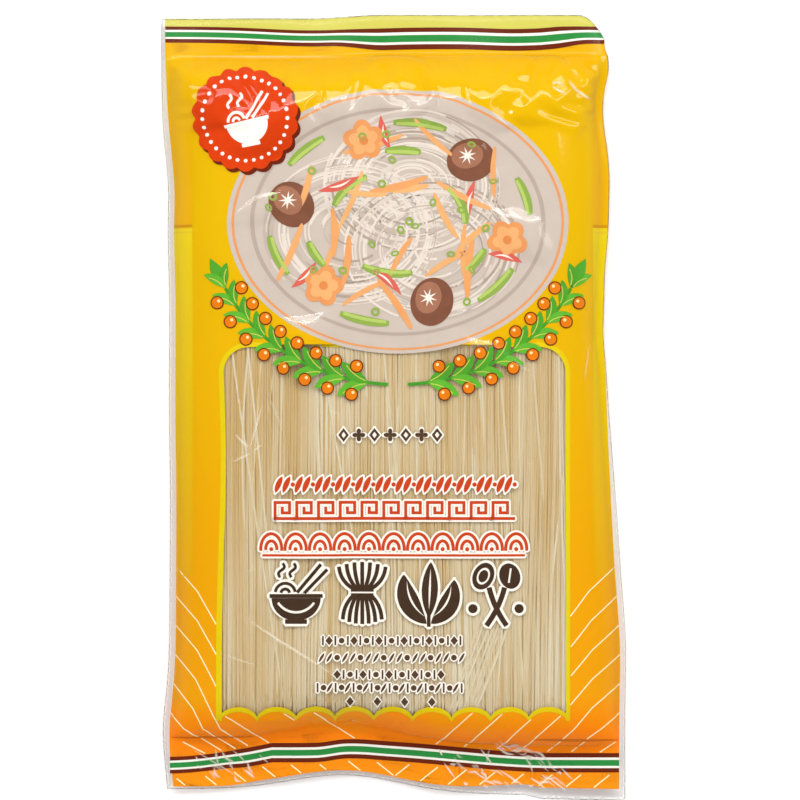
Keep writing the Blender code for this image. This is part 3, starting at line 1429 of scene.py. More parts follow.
@dataclass(frozen=True)
class PrintedGround:
    """The ground of the print: graded ink round the window, bands at both ends and fine slanting lines."""

    shape: PackShape
    window: Window
    left_margin: float = 2.6
    right_margin: float = 2.2
    top_margin: float = 0.3
    bottom_margin: float = 1.9
    bottom_margin_left: float = -1.0
    fin_margin: float = 2.6
    strip_left: float = -77.6
    strip_right: float = 77.6
    strip_low: float = -66.0
    strip_high: float = 136.0
    seam: float = 69.6
    seal_edge: float = -128.2
    top: Stripes = Stripes(
        outer=147.3,
        widths=(1.75, 1.1, 2.7, 0.95, 2.0),
        swells=(Sway(-32.0, 26.0, -1.5), Sway(47.0, 14.0, -0.65)),
        rises=(Rise(-20.0, 20.0, -0.35), Rise(56.0, 10.0, 0.4)),
        narrowest=0.74,
        widenings=(Rise(-25.0, 22.0, 0.26), Rise(62.0, 14.0, -0.2)),
    )
    bottom: Stripes = Stripes(
        outer=-130.8,
        widths=(1.8, 1.0, 2.4, 0.95, 1.75),
        swells=(Sway(-16.0, 10.0, 0.7),),
        rises=(Rise(-30.0, 12.0, 0.8), Rise(-12.0, 74.0, -4.7)),
        narrowest=0.82,
        widenings=(Rise(-67.0, 12.0, 0.13),),
        left_drop=5.4,
    )
    stripes_depth: float = 8.5
    slant_width: float = 0.48
    slant_slopes: tuple[Place, Place] = ((1.1, 1.7, 0.65), (0.85, 1.2, 0.9))
    edge_slants: Slants = Slants(7, -62.5, 11.3, 40.0, 80)
    edge_slant_bend: float = 9.2
    edge_slant_foot: float = -125.0
    window_slants: Slants = Slants(4, 64.8, 11.4, 22.0, 50)
    window_slant_gap: float = 1.3
    end_slants: Slants = Slants(8, 84.0, 11.1, 14.0, 40)
    end_slant_slope: float = 0.8

    def ink_left(self, y: Array) -> Array:
        """The X where the ink ends on the left: the film's edge plus a clear margin, narrow at the top."""
        v = y / (self.shape.length / 2.0)
        return self.shape.across(-1.0, v) + self.left_margin * (0.55 + 0.45 * eased((1.0 - v) / 0.35))

    def ink_right(self, y: Array) -> Array:
        """The X where the ink ends on the right: a clear margin that opens towards the bottom."""
        v = y / (self.shape.length / 2.0)
        return self.shape.across(1.0, v) - self.right_margin * (0.08 + 1.02 * eased((0.2 - v) / 0.6))

    def ink_ends(self, y: float) -> tuple[float, float]:
        """The X where the ink starts and ends at one Y."""
        level_y = np.array([y])
        return float(self.ink_left(level_y)[0]), float(self.ink_right(level_y)[0])

    def ink_top(self, x: Array) -> Array:
        """The Y where the ink ends at the top."""
        return self.shape.along(x, np.ones_like(x)) - self.top_margin

    def ink_bottom(self, x: Array) -> Array:
        """The Y where the ink ends at the bottom: a clear margin, wide on the right, slight on the left."""
        edge = self.shape.along(x, -np.ones_like(x))
        left = self.bottom_margin_left * eased((-50.0 - x) / 15.0)
        return edge + self.bottom_margin + left + self.fin_margin * eased((x - 12.0) / 50.0)

    def front_blocks(self) -> list[Block]:
        """The front's ground: a block on each side of the window, one above it and one below."""
        left, right = self.window.left_edge, upright(self.window.right)
        return [
            Block(self.ink_bottom, self.ink_top, self.ink_left, left, 26, 340),
            Block(self.ink_bottom, self.ink_top, right, self.ink_right, 26, 340),
            Block(self.window.top_edge, self.ink_top, left, right, 160, 150),
            Block(self.ink_bottom, self.window.bottom_edge, left, right, 216, 36),
        ]

    def strip_blocks(self) -> list[Block]:
        """The strips down both long sides, where the back's print turns the edge."""
        low, high = level(self.strip_low), level(self.strip_high)
        return [
            Block(low, high, self.ink_left, upright(self.strip_left), 10, 210),
            Block(low, high, upright(self.strip_right), self.ink_right, 10, 210),
        ]

    def back_blocks(self) -> list[Block]:
        """The back's ground, in one block."""
        return [Block(self.ink_bottom, self.ink_top, self.ink_left, self.ink_right, 120, 220)]

    def make_ground(
        self, skin: FilmSkin, blocks: Sequence[Block], ink: GradedInk, name: str, layer: Layer
    ) -> None:
        """Makes one piece of ground ink.

        Args:
            skin: the film side it is printed on.
            blocks: what it is made of.
            ink: its finish.
            name: the piece's name.
            layer: how far it stands off the skin.
        """
        maker = MeshMaker()
        for block in blocks:
            maker.add_grid(skin.lay(*block.patch(), layer.value), flip=not skin.front)
        settle(maker.make(name, ink.make()))

    def draw_bands(self, sheet: InkSheet) -> None:
        """Prints the stripes at both ends and the pale band along the top edge."""
        t = np.linspace(0.0, 1.0, 4)[:, None]
        inks = (Ink.MAROON, Ink.WHITE, Ink.LEAF_GREEN, Ink.WHITE, Ink.MAROON)
        for stripes in (self.top, self.bottom):
            y = float(stripes.edge(np.zeros(1))[0]) - 4.0
            x = np.linspace(*self.ink_ends(y), 220)[None, :]
            edge, share = stripes.edge(x), stripes.share(x)
            if stripes is self.top:
                pale_top = self.ink_top(x)
                reach = np.minimum(edge, pale_top)
                sheet.lay(Ink.PALE_YELLOW, x + 0.0 * t, reach + (pale_top - reach) * t, Layer.BAND)
            for ink, width in zip(inks, stripes.widths):
                high = np.minimum(edge, self.ink_top(x))
                low = np.minimum(edge - width * share, self.ink_top(x) - 0.02)
                sheet.lay(ink, x + 0.0 * t, low + (high - low) * t, Layer.HALO)
                edge = edge - width * share

    def draw_seam(self, sheet: InkSheet) -> None:
        """Prints the thin lines across both side strips, where their two yellows meet."""
        for down, width, tone in ((0.0, 1.1, 0.0), (2.4, 0.6, 1.0)):
            y = self.seam - down
            left, right = self.ink_ends(y)
            for start, end in ((left, self.strip_left), (self.strip_right, right)):
                sheet.shape(Ink.SEAM_BROWN, line((start, y), (end, y), width), Layer.HALO, tone)

    def draw_border(self, sheet: InkSheet) -> None:
        """Prints the bright border round the window."""
        window = self.window
        outline = window.outline()
        widths = np.linspace(window.border[0], window.border[1], len(outline))
        sheet.shape(Ink.BRIGHT_YELLOW, Stroke(outline, widths / 2.0), Layer.BAND)
        x = np.linspace(window.left - 0.5, window.right + 0.5, 360)
        t = np.linspace(-0.6, 0.7, 4)[:, None] * window.border[1]
        sheet.lay(Ink.BRIGHT_YELLOW, x[None, :] + 0.0 * t, window.bottom_edge(x)[None, :] + t, Layer.BAND)

    def draw_seal_edge(self, sheet: InkSheet) -> None:
        """Paints the fold's shade at the upper edge of the bottom seal as a dark line of ink, which shows at
        both sides.
        """
        left, right = self.ink_ends(self.seal_edge)
        for start, end, drop in ((left, -54.0, 0.4), (right, 54.0, 1.3)):
            shade = leaf((start, self.seal_edge - drop), (end, self.seal_edge - drop + 0.4), 0.9, 0.0, 0.5)
            sheet.shape(Ink.PAINTED_FOLD_SHADE, shade, Layer.BAND, 0.3)

    def draw_slants(self, sheet: InkSheet) -> None:
        """Prints the fine cream lines: from the edges, bent twice, under the window and under the stripes.

        Args:
            sheet: what it is printed on.
        """
        for side, slopes in zip((-1.0, 1.0), self.slant_slopes):
            starts, down = self.edge_slants.lines()
            for start in starts:
                y = start - down
                late = np.maximum(down - self.edge_slant_bend, 0.0) * (1.0 / slopes[1] - 1.0 / slopes[0])
                low = np.maximum(self.edge_slant_foot - y, 0.0) * (1.0 / slopes[2] - 1.0 / slopes[1])
                edge = self.ink_left(y) if side < 0 else self.ink_right(y)
                self.draw_clipped(sheet, edge - side * (0.1 + down / slopes[0] + late + low), y)
            for slants, above, gap, slope in (
                (self.window_slants, self.window.bottom_edge, self.window_slant_gap, slopes[2]),
                (self.end_slants, self.bottom.edge, self.stripes_depth, self.end_slant_slope),
            ):
                starts, inward = slants.lines()
                for start in starts:
                    y = above(np.array(side * start)) - gap - slope * inward
                    self.draw_clipped(sheet, side * start - side * inward, y)

    def draw_clipped(self, sheet: InkSheet, x: Array, y: Array) -> None:
        """Prints a fine line up to where it leaves the ground or meets the window or a stripe.

        Args:
            sheet: what it is printed on.
            x: its places across, from its start on.
            y: its places along.
        """
        window = self.window
        in_window = (x > window.left_edge(y) - 1.0) & (x < window.right + 0.8)
        in_window = in_window & (y > window.bottom_edge(x) - 0.9)
        stripes = self.bottom.edge(x)
        in_stripes = (y < stripes + 0.3) & (y > stripes - self.stripes_depth + 0.3)
        shown = ~in_window & ~in_stripes & (y > self.ink_bottom(x) + 0.3)
        count = len(x) if shown.all() else int(np.argmin(shown))
        if count > 4:
            centre = np.stack([x, y], axis=1)[:count]
            sheet.shape(Ink.CREAM, Stroke(centre, np.full(count, 0.5 * self.slant_width)), Layer.BAND, 0.9)


# ---- The print's pictures and ornaments ----


@dataclass(frozen=True)
class PlateOfNoodles:
    """An oval dish seen from above: a pale rim, a nest of noodles, and vegetables set round it in threes.

    Each third has a chestnut and a carrot flower, given by reach and direction, peppers, given by reach,
    start and sweep, chillies, given by reach, direction, length and slant, and carrot sticks, given by
    direction. Directions are in degrees, counted from the third's own.
    """

    centre: Place = (2.0, 71.0)
    radius: float = 66.0
    squash: float = 0.77
    well: float = 56.0
    noodles: int = 300
    coil_reach: float = 19.0
    coil_turn: float = 74.0
    coil_radius: float = 34.0
    onion_rings: int = 24
    first_third: float = 14.0
    chestnut: Place = (42.0, 34.0)
    flower: Place = (43.0, -26.0)
    peppers: tuple[Place, ...] = (
        *((50.0, 54.0, 24.0), (26.0, -16.0, 44.0)),
        *((51.0, -10.0, 22.0), (36.0, 62.0, 22.0)),
    )
    chillies: tuple[Place, ...] = ((30.0, 6.0, 17.0, 60.0), (45.0, 82.0, 14.0, 10.0))
    sticks: tuple[float, ...] = (-44.0, -4.0, 14.0, 20.0, 58.0, 66.0, 90.0)
    seed: int = 21

    def at(self, reach: float, degrees: float) -> Place:
        """The place at a distance and in a direction from the dish's middle, on the dish's ellipse."""
        return np.array(self.centre) + reach * heading(degrees) * (1.0, self.squash)

    def ring(self, outer: float, inner: float) -> Round:
        """A ring round the dish, between two radii."""
        return Round(self.centre, outer, squash=self.squash, hole=inner)

    def draw(self, sheet: InkSheet) -> None:
        """Prints the dish and all that is on it."""
        rng = np.random.default_rng(self.seed)
        sheet.shape(Ink.PLATE, self.ring(self.radius, 0.0), Layer.BAND, 0.75)
        sheet.shape(Ink.CARROT, self.ring(self.radius - 1.8, self.radius - 2.8), Layer.HALO, 0.4)
        sheet.shape(Ink.PLATE, self.ring(self.well + 1.0, self.well - 0.6), Layer.HALO, 0.0)
        self.draw_noodles(sheet, rng)
        for third in range(3):
            self.draw_third(sheet, rng, 120.0 * third + self.first_third)
        self.draw_rings(sheet, rng)

    def draw_noodles(self, sheet: InkSheet, rng: np.random.Generator) -> None:
        """Prints the nest: many thin arcs round three loose coils, pale ones over shaded ones.

        Args:
            sheet: what it is printed on.
            rng: source of the arcs' unevenness.
        """
        for number in range(self.noodles):
            coil = self.at(self.coil_reach, 120.0 * (number % 3) + self.coil_turn)
            reach = self.coil_radius * math.sqrt(rng.uniform(0.01, 1.0))
            start = rng.uniform(0.0, 360.0)
            sweep = rng.uniform(50.0, 130.0)
            tone = rng.choice((0.05, 0.35, 0.8, 1.0), p=(0.14, 0.2, 0.3, 0.36))
            squash = rng.uniform(0.7, 0.9)
            noodle = arc(coil, reach, start, start + sweep, rng.uniform(0.5, 1.0), squash)
            sheet.shape(Ink.PLATE_LINE, noodle, Layer.SHAPE, tone)

    def draw_third(self, sheet: InkSheet, rng: np.random.Generator, turn: float) -> None:
        """Prints a third of the vegetables: a chestnut, a carrot flower, peppers, chillies and sticks.

        Args:
            sheet: what it is printed on.
            rng: source of the sticks' unevenness.
            turn: the third's direction from the dish's middle, in degrees.
        """
        reach, degrees = self.chestnut
        self.draw_chestnut(sheet, rng, self.at(reach, turn + degrees), turn)
        reach, degrees = self.flower
        self.draw_flower(sheet, self.at(reach, turn + degrees), turn)
        for reach, start, sweep in self.peppers:
            self.draw_pepper(sheet, reach, turn + start, sweep)
        for reach, degrees, length, slant in self.chillies:
            along = 0.5 * length * heading(turn + degrees + slant)
            middle = self.at(reach, turn + degrees)
            sheet.shape(Ink.CHILLI, leaf(middle - along, middle + along, 3.4, 1.0), Layer.DETAIL)
            shine = leaf(middle - 0.6 * along, middle + 0.5 * along, 0.8, 1.0)
            sheet.shape(Ink.HALO_WHITE, shine, Layer.TOP, 0.3)
        for degrees in self.sticks:
            middle = self.at(rng.uniform(14.0, 46.0), turn + degrees)
            along = rng.uniform(8.0, 13.0) * heading(turn + degrees + rng.uniform(30.0, 150.0))
            stick = leaf(middle - along, middle + along, rng.uniform(2.0, 3.0), 0.8, 0.35)
            sheet.shape(Ink.CARROT, stick, Layer.DETAIL, rng.uniform(0.5, 1.0))

    def draw_pepper(self, sheet: InkSheet, reach: float, start: float, sweep: float) -> None:
        """Prints a strip of green pepper that bends with the dish, with a pale inner edge.

        Args:
            sheet: what it is printed on.
            reach: its distance from the dish's middle.
            start: the direction of its first end, in degrees.
            sweep: the angle that it takes up.
        """
        strip = arc(self.centre, reach, start, start + sweep, 3.4, self.squash)
        taper = np.sin(math.pi * np.linspace(0.03, 0.97, len(strip.half))) ** 0.3
        sheet.shape(Ink.PEPPER_GREEN, Stroke(strip.centre, strip.half * taper), Layer.DETAIL, 0.25)
        flesh = arc(self.centre, reach - 0.7, start + 1.2, start + sweep - 1.2, 1.3, self.squash)
        sheet.shape(Ink.PEPPER_GREEN, flesh, Layer.TOP, 1.0)

    def draw_flower(self, sheet: InkSheet, place: Place, turn: float) -> None:
        """Prints a slice of carrot cut as a flower: five petals, a pale ring and a core."""
        sheet.shape(Ink.CARROT, Round(place, 8.0, turn=turn, lobes=5, lobe_depth=0.26), Layer.DETAIL, 0.35)
        sheet.shape(Ink.CARROT, Round(place, 5.8, turn=turn, lobes=5, lobe_depth=0.3), Layer.TOP, 0.85)
        sheet.shape(Ink.CARROT, Round(place, 1.7), Layer.SEAL, 0.1)

    def draw_chestnut(self, sheet: InkSheet, rng: np.random.Generator, place: Place, turn: float) -> None:
        """Prints a roast chestnut: a round brown top with a lit side and a star-shaped cut.

        Args:
            sheet: what it is printed on.
            rng: source of the cut's unevenness.
            place: its middle.
            turn: its direction, in degrees.
        """
        sheet.shape(Ink.CHESTNUT, Round(place, 9.4, squash=0.88, turn=turn), Layer.DETAIL, 0.2)
        lit = place + (-1.4, 1.6)
        sheet.shape(Ink.CHESTNUT, Round(lit, 6.2, squash=0.8, turn=turn), Layer.TOP, 0.8)
        for number in range(4):
            spoke = heading(turn + 45.0 * number + rng.uniform(-6.0, 6.0)) * 3.6
            cut = leaf(lit - spoke, lit + spoke, 0.9)
            sheet.shape(Ink.HALO_WHITE, cut, Layer.SEAL, 0.3)

    def draw_rings(self, sheet: InkSheet, rng: np.random.Generator) -> None:
        """Prints the rings of spring onion that are strewn over the nest."""
        for _ in range(self.onion_rings):
            place = self.at(rng.uniform(3.0, 52.0), rng.uniform(0.0, 360.0))
            ring = Round(place, 1.7, squash=rng.uniform(0.6, 1.0), turn=rng.uniform(0.0, 180.0), hole=0.8)
            sheet.shape(Ink.PEPPER_GREEN, ring, Layer.SEAL, 0.3)


@dataclass(frozen=True)
class RoundSeal:
    """A red seal with a scalloped edge, a ring of white beads and a bowl of noodles."""

    centre: Place = (-57.0, 111.0)
    radius: float = 20.5
    lobes: int = 18
    beads: int = 32
    bead_reach: float = 16.2
    bead_radius: float = 0.75

    def draw(self, sheet: InkSheet) -> None:
        """Prints the seal, over a darker copy of itself that stands out at its lower right."""
        x, y = self.centre
        edge = Round(self.centre, self.radius, lobes=self.lobes, lobe_depth=0.07)
        sheet.shape(Ink.MAROON, replace(edge, centre=(x + 1.1, y - 1.3)), Layer.TOP, 0.7)
        sheet.shape(Ink.SEAL_RED, edge, Layer.SEAL, 0.75)
        for number in range(self.beads):
            place = np.array(self.centre) + self.bead_reach * heading(number * 360.0 / self.beads)
            sheet.shape(Ink.WHITE, Round(place, self.bead_radius), Layer.SIGN, 0.7)
        for part in BOWL.parts:
            sheet.shape(Ink.WHITE, part.placed((x + 0.4, y - 0.6), 12.0, 0.86), Layer.SIGN, 0.9)


@dataclass(frozen=True)
class Wreath:
    """Two laurel sprigs that rise round the dish from its foot, with leaves in pairs and orange berries."""

    centre: Place = (2.0, 71.0)
    radius: float = 73.0
    squash: float = 0.86
    low: float = -87.0
    high: float = -24.0
    pairs: int = 9
    leaf_length: float = 13.0
    leaf_width: float = 4.8
    splay: float = 31.0

    def at(self, degrees: float) -> tuple[Array, float]:
        """The stem's place in a direction from the dish's middle, and the way it grows there."""
        east, north = heading(degrees)
        place = np.array(self.centre) + self.radius * np.array([east, self.squash * north])
        return place, math.degrees(math.atan2(self.squash * east, -north))

    def draw(self, sheet: InkSheet) -> None:
        """Prints both sprigs."""
        stem = arc(self.centre, self.radius, self.low, self.high, 1.3, self.squash)
        self.draw_both(sheet, Ink.SPRIG_GREEN, stem, Layer.HALO, 0.1)
        for number, degrees in enumerate(np.linspace(self.low + 6.0, self.high, self.pairs)):
            self.draw_pair(sheet, degrees, 1.0 - 0.03 * number)
            if number:
                self.draw_berries(sheet, degrees - 3.6)
        tip, way = self.at(self.high)
        end = tip + self.leaf_length * heading(way)
        self.draw_both(sheet, Ink.SPRIG_GREEN, leaf(tip, end, self.leaf_width), Layer.SHAPE, 0.4)

    def draw_both(self, sheet: InkSheet, ink: Ink, shape: Field, layer: Layer, tone: float) -> None:
        """Prints a shape of the right sprig, and its mirror image on the left."""
        sheet.shape(ink, shape, layer, tone)
        sheet.shape(ink, shape.mirrored(self.centre[0]), layer, tone)

    def draw_pair(self, sheet: InkSheet, degrees: float, size: float) -> None:
        """Prints two leaves, splayed to both sides of the stem, with their midribs.

        Args:
            sheet: what it is printed on.
            degrees: the pair's place on the stem.
            size: its size, as a share of the first pair's.
        """
        foot, growth = self.at(degrees)
        for side, tone in ((-1.0, 0.75), (1.0, 0.3)):
            way = heading(growth + side * self.splay)
            end = foot + size * self.leaf_length * way
            blade = leaf(foot, end, size * self.leaf_width, -0.9 * side, 0.8)
            self.draw_both(sheet, Ink.SPRIG_GREEN, blade, Layer.SHAPE, tone)
            rib = line(foot + 1.2 * way, end - 2.4 * way, 0.35, -0.7 * side)
            self.draw_both(sheet, Ink.PALE_YELLOW, rib, Layer.DETAIL, 0.7)

    def draw_berries(self, sheet: InkSheet, degrees: float) -> None:
        """Prints a berry on each side of the stem: a dark outline, an orange fruit and its shine.

        Args:
            sheet: what it is printed on.
            degrees: their place on the stem.
        """
        foot, growth = self.at(degrees)
        for side in (-1.0, 1.0):
            place = foot + 5.6 * heading(growth + side * 80.0)
            self.draw_both(sheet, Ink.SPRIG_GREEN, line(foot, place, 0.5), Layer.HALO, 0.1)
            self.draw_both(sheet, Ink.MAROON, Round(place, 2.6), Layer.DETAIL, 0.8)
            self.draw_both(sheet, Ink.BERRY, Round(place, 2.15), Layer.TOP, 0.5)
            shine = Round(place + (-0.6, 0.7), 0.6)
            self.draw_both(sheet, Ink.CREAM, shine, Layer.SEAL, 0.5)


class Motif(NamedTuple):
    """A small ornament about its own middle: its shapes, and the pale marks printed on them."""

    parts: Sequence[Field]
    marks: Sequence[Field] = ()


@dataclass(frozen=True)
class MotifRow:
    """A row of ornament across the window: motifs that take turns, each with a pale margin."""

    y: float
    left: float
    right: float
    count: int
    motifs: Sequence[Motif]
    ink: Ink = Ink.DARK_BROWN
    tone: float = 0.7
    halo: float = 0.75

    def draw(self, sheet: InkSheet) -> None:
        """Prints the motifs, evenly spaced from the row's left end to its right."""
        for number, x in enumerate(np.linspace(self.left, self.right, self.count)):
            motif = self.motifs[number % len(self.motifs)]
            for part in motif.parts:
                sheet.shape(self.ink, part.placed((x, self.y)), Layer.SHAPE, self.tone, self.halo)
            for mark in motif.marks:
                sheet.shape(Ink.HALO_WHITE, mark.placed((x, self.y)), Layer.DETAIL, 0.5)


MIDDLE = (0.0, 0.0)
FRET_PITCH = 8.4
FRET_TURNS = ((0.0, 0.0), (0.0, 6.2), (5.6, 6.2), (5.6, 2.2), (2.8, 2.2), (2.8, 4.0))

OPEN_LOZENGE = Motif([lozenge(5.4, 4.2)], [lozenge(2.4, 1.8)])
FLOWER = Motif([Round(MIDDLE, 2.5, turn=45.0, lobes=4, lobe_depth=0.62)])
GRAINS = Motif(
    [leaf((x - 1.4, -3.2), (x + 1.4, 3.2), 2.1, 0.2, 0.6) for x in (-1.5, 1.5)] + [Round((3.9, 0.0), 0.85)]
)
FRET = Motif([*bar_run(FRET_TURNS, 1.15), line((-0.55, 0.0), (FRET_PITCH + 0.2, 0.0), 1.15)])
ARCHES = Motif([*(arc(MIDDLE, reach, -6.0, 186.0, 1.2, 1.45) for reach in (4.1, 2.2)), Round(MIDDLE, 0.8)])
RULE = Motif([line((-50.7, 0.0), (50.7, 0.0), 0.9)])

BOWL = Motif(
    [
        basin((0.0, -1.5), 19.0, 8.8),
        line((-10.3, -0.7), (10.3, -0.7), 1.5),
        line((-4.2, -10.6), (4.2, -10.6), 1.7),
        *(arc((-4.2, 0.3), reach, 8.0, 172.0, 1.2) for reach in (3.9, 1.7)),
        line((0.4, 0.6), (9.6, 11.6), 1.3),
        line((3.2, 0.4), (12.0, 9.6), 1.3),
        *(wave((x, 6.5), (x + 1.0, 12.0), 1.1, 0.9, 1.0) for x in (-6.2, -1.8)),
    ],
    [arc((0.0, 1.4), 8.4, 214.0, 326.0, 0.9)],
)
SHEAF = Motif(
    [
        line((-4.4, 0.6), (4.4, 0.6), 3.2),
        *(line((0.95 * n, 1.8), (3.0 * n, 12.4 - 0.2 * n * n), 1.5, -0.5 * n) for n in range(-3, 4)),
        *(line((0.95 * n, 0.0), (2.5 * n, -11.6 + 0.2 * n * n), 1.5, 0.4 * n) for n in range(-3, 4)),
    ],
    [line((-4.4, 0.6), (4.4, 0.6), 0.6)],
)
LEAVES = Motif(
    [
        leaf((-0.8, -11.4), (-9.6, 7.6), 7.8, 2.6, 0.75),
        leaf((0.8, -11.4), (9.8, 5.6), 7.4, -2.6, 0.75),
        leaf((0.0, -9.0), (0.8, 12.4), 6.2, 0.0, 0.75),
        line((0.0, -12.6), (0.0, -8.0), 1.4),
    ],
    [
        leaf((-1.6, -8.6), (-8.4, 5.2), 0.8, 1.9),
        leaf((1.6, -8.6), (8.6, 3.4), 0.8, -1.9),
        leaf((0.1, -6.0), (0.7, 10.0), 0.8),
    ],
)
SPOONS = Motif(
    [
        Round((-4.6, 7.0), 5.4, squash=0.74, turn=66.0),
        line((-2.4, 2.6), (4.4, -12.2), 2.0, -0.8),
        Round((5.6, 7.0), 5.0, squash=0.8, turn=108.0),
        line((3.6, 2.6), (-3.4, -12.2), 2.0, 0.8),
        *(Round((x, -5.6), 1.8) for x in (-8.6, 9.2)),
    ],
    [Round((-4.6, 7.0), 3.4, squash=0.7, turn=66.0, hole=2.5), line((5.2, 4.4), (6.0, 10.0), 0.7)],
)
BAR = Motif([line((0.0, -1.8), (0.0, 1.8), 0.7)])
DOT = Motif([Round(MIDDLE, 1.1)])
LOZENGE = Motif([lozenge(3.6, 2.9)])
TICK = Motif([leaf((-1.1, -1.9), (1.1, 1.9), 1.0, 0.0, 0.6)])

# Rows of plain ornament stand where such a pack has its words and signs.
RED = {"ink": Ink.TEXT_RED, "tone": 0.5}
SMALL = {"tone": 0.8, "halo": 0.55}
MOTIF_ROWS = (
    MotifRow(-11.2, -19.0, 17.0, 7, (OPEN_LOZENGE, FLOWER)),
    MotifRow(-30.3, -42.5, 43.0, 12, (GRAINS,), **RED),
    MotifRow(-43.4, -45.5, -45.5 + 10.0 * FRET_PITCH, 11, (FRET,), **RED),
    MotifRow(-55.2, -47.0, 47.5, 11, (ARCHES,), **RED),
    MotifRow(-57.6, 0.2, 0.2, 1, (RULE,), **RED),
    MotifRow(-72.6, -37.4, 39.4, 4, (BOWL, SHEAF, LEAVES, SPOONS), tone=0.3, halo=1.0),
    MotifRow(-90.6, -27.0, 26.0, 23, (BAR, LOZENGE, BAR, DOT), **SMALL),
    MotifRow(-97.2, -27.5, 26.5, 19, (TICK, TICK, DOT), **SMALL),
    MotifRow(-103.8, -21.5, 18.5, 17, (LOZENGE, BAR, DOT, BAR), **SMALL),
    MotifRow(-109.0, -29.0, 26.5, 25, (BAR, DOT, TICK), **SMALL),
    MotifRow(-114.4, -16.5, 15.0, 4, (LOZENGE,), **SMALL),
)


# ---- The noodles ----


@dataclass(frozen=True)
class StrandLayer:
    """One layer of strands: how many, how closely, how deep and how pale they lie; deeper is darker, painted
    shade.
    """

    name: str
    pitch: float
    depth: float
    unevenness: float
    tone: float
    stations: int


@dataclass(frozen=True)
class Tangle:
    """Strands that lie across the others, on top: how many, whereabouts, their lean and their lengths."""

    count: int
    centre: Place
    reach: Place
    lean: float
    lean_spread: float
    lengths: tuple[float, float]


class Drift(NamedTuple):
    """A smooth unevenness of the bundle: how strong it is, and how wide and how long its swells are."""

    strength: float
    wide: float
    long: float

    def over(self, x: Array, y: Array, rng: np.random.Generator) -> Array:
        """The unevenness at each place: smooth noise, times its strength."""
        return self.strength * value_noise(x / self.wide, y / self.long, rng)


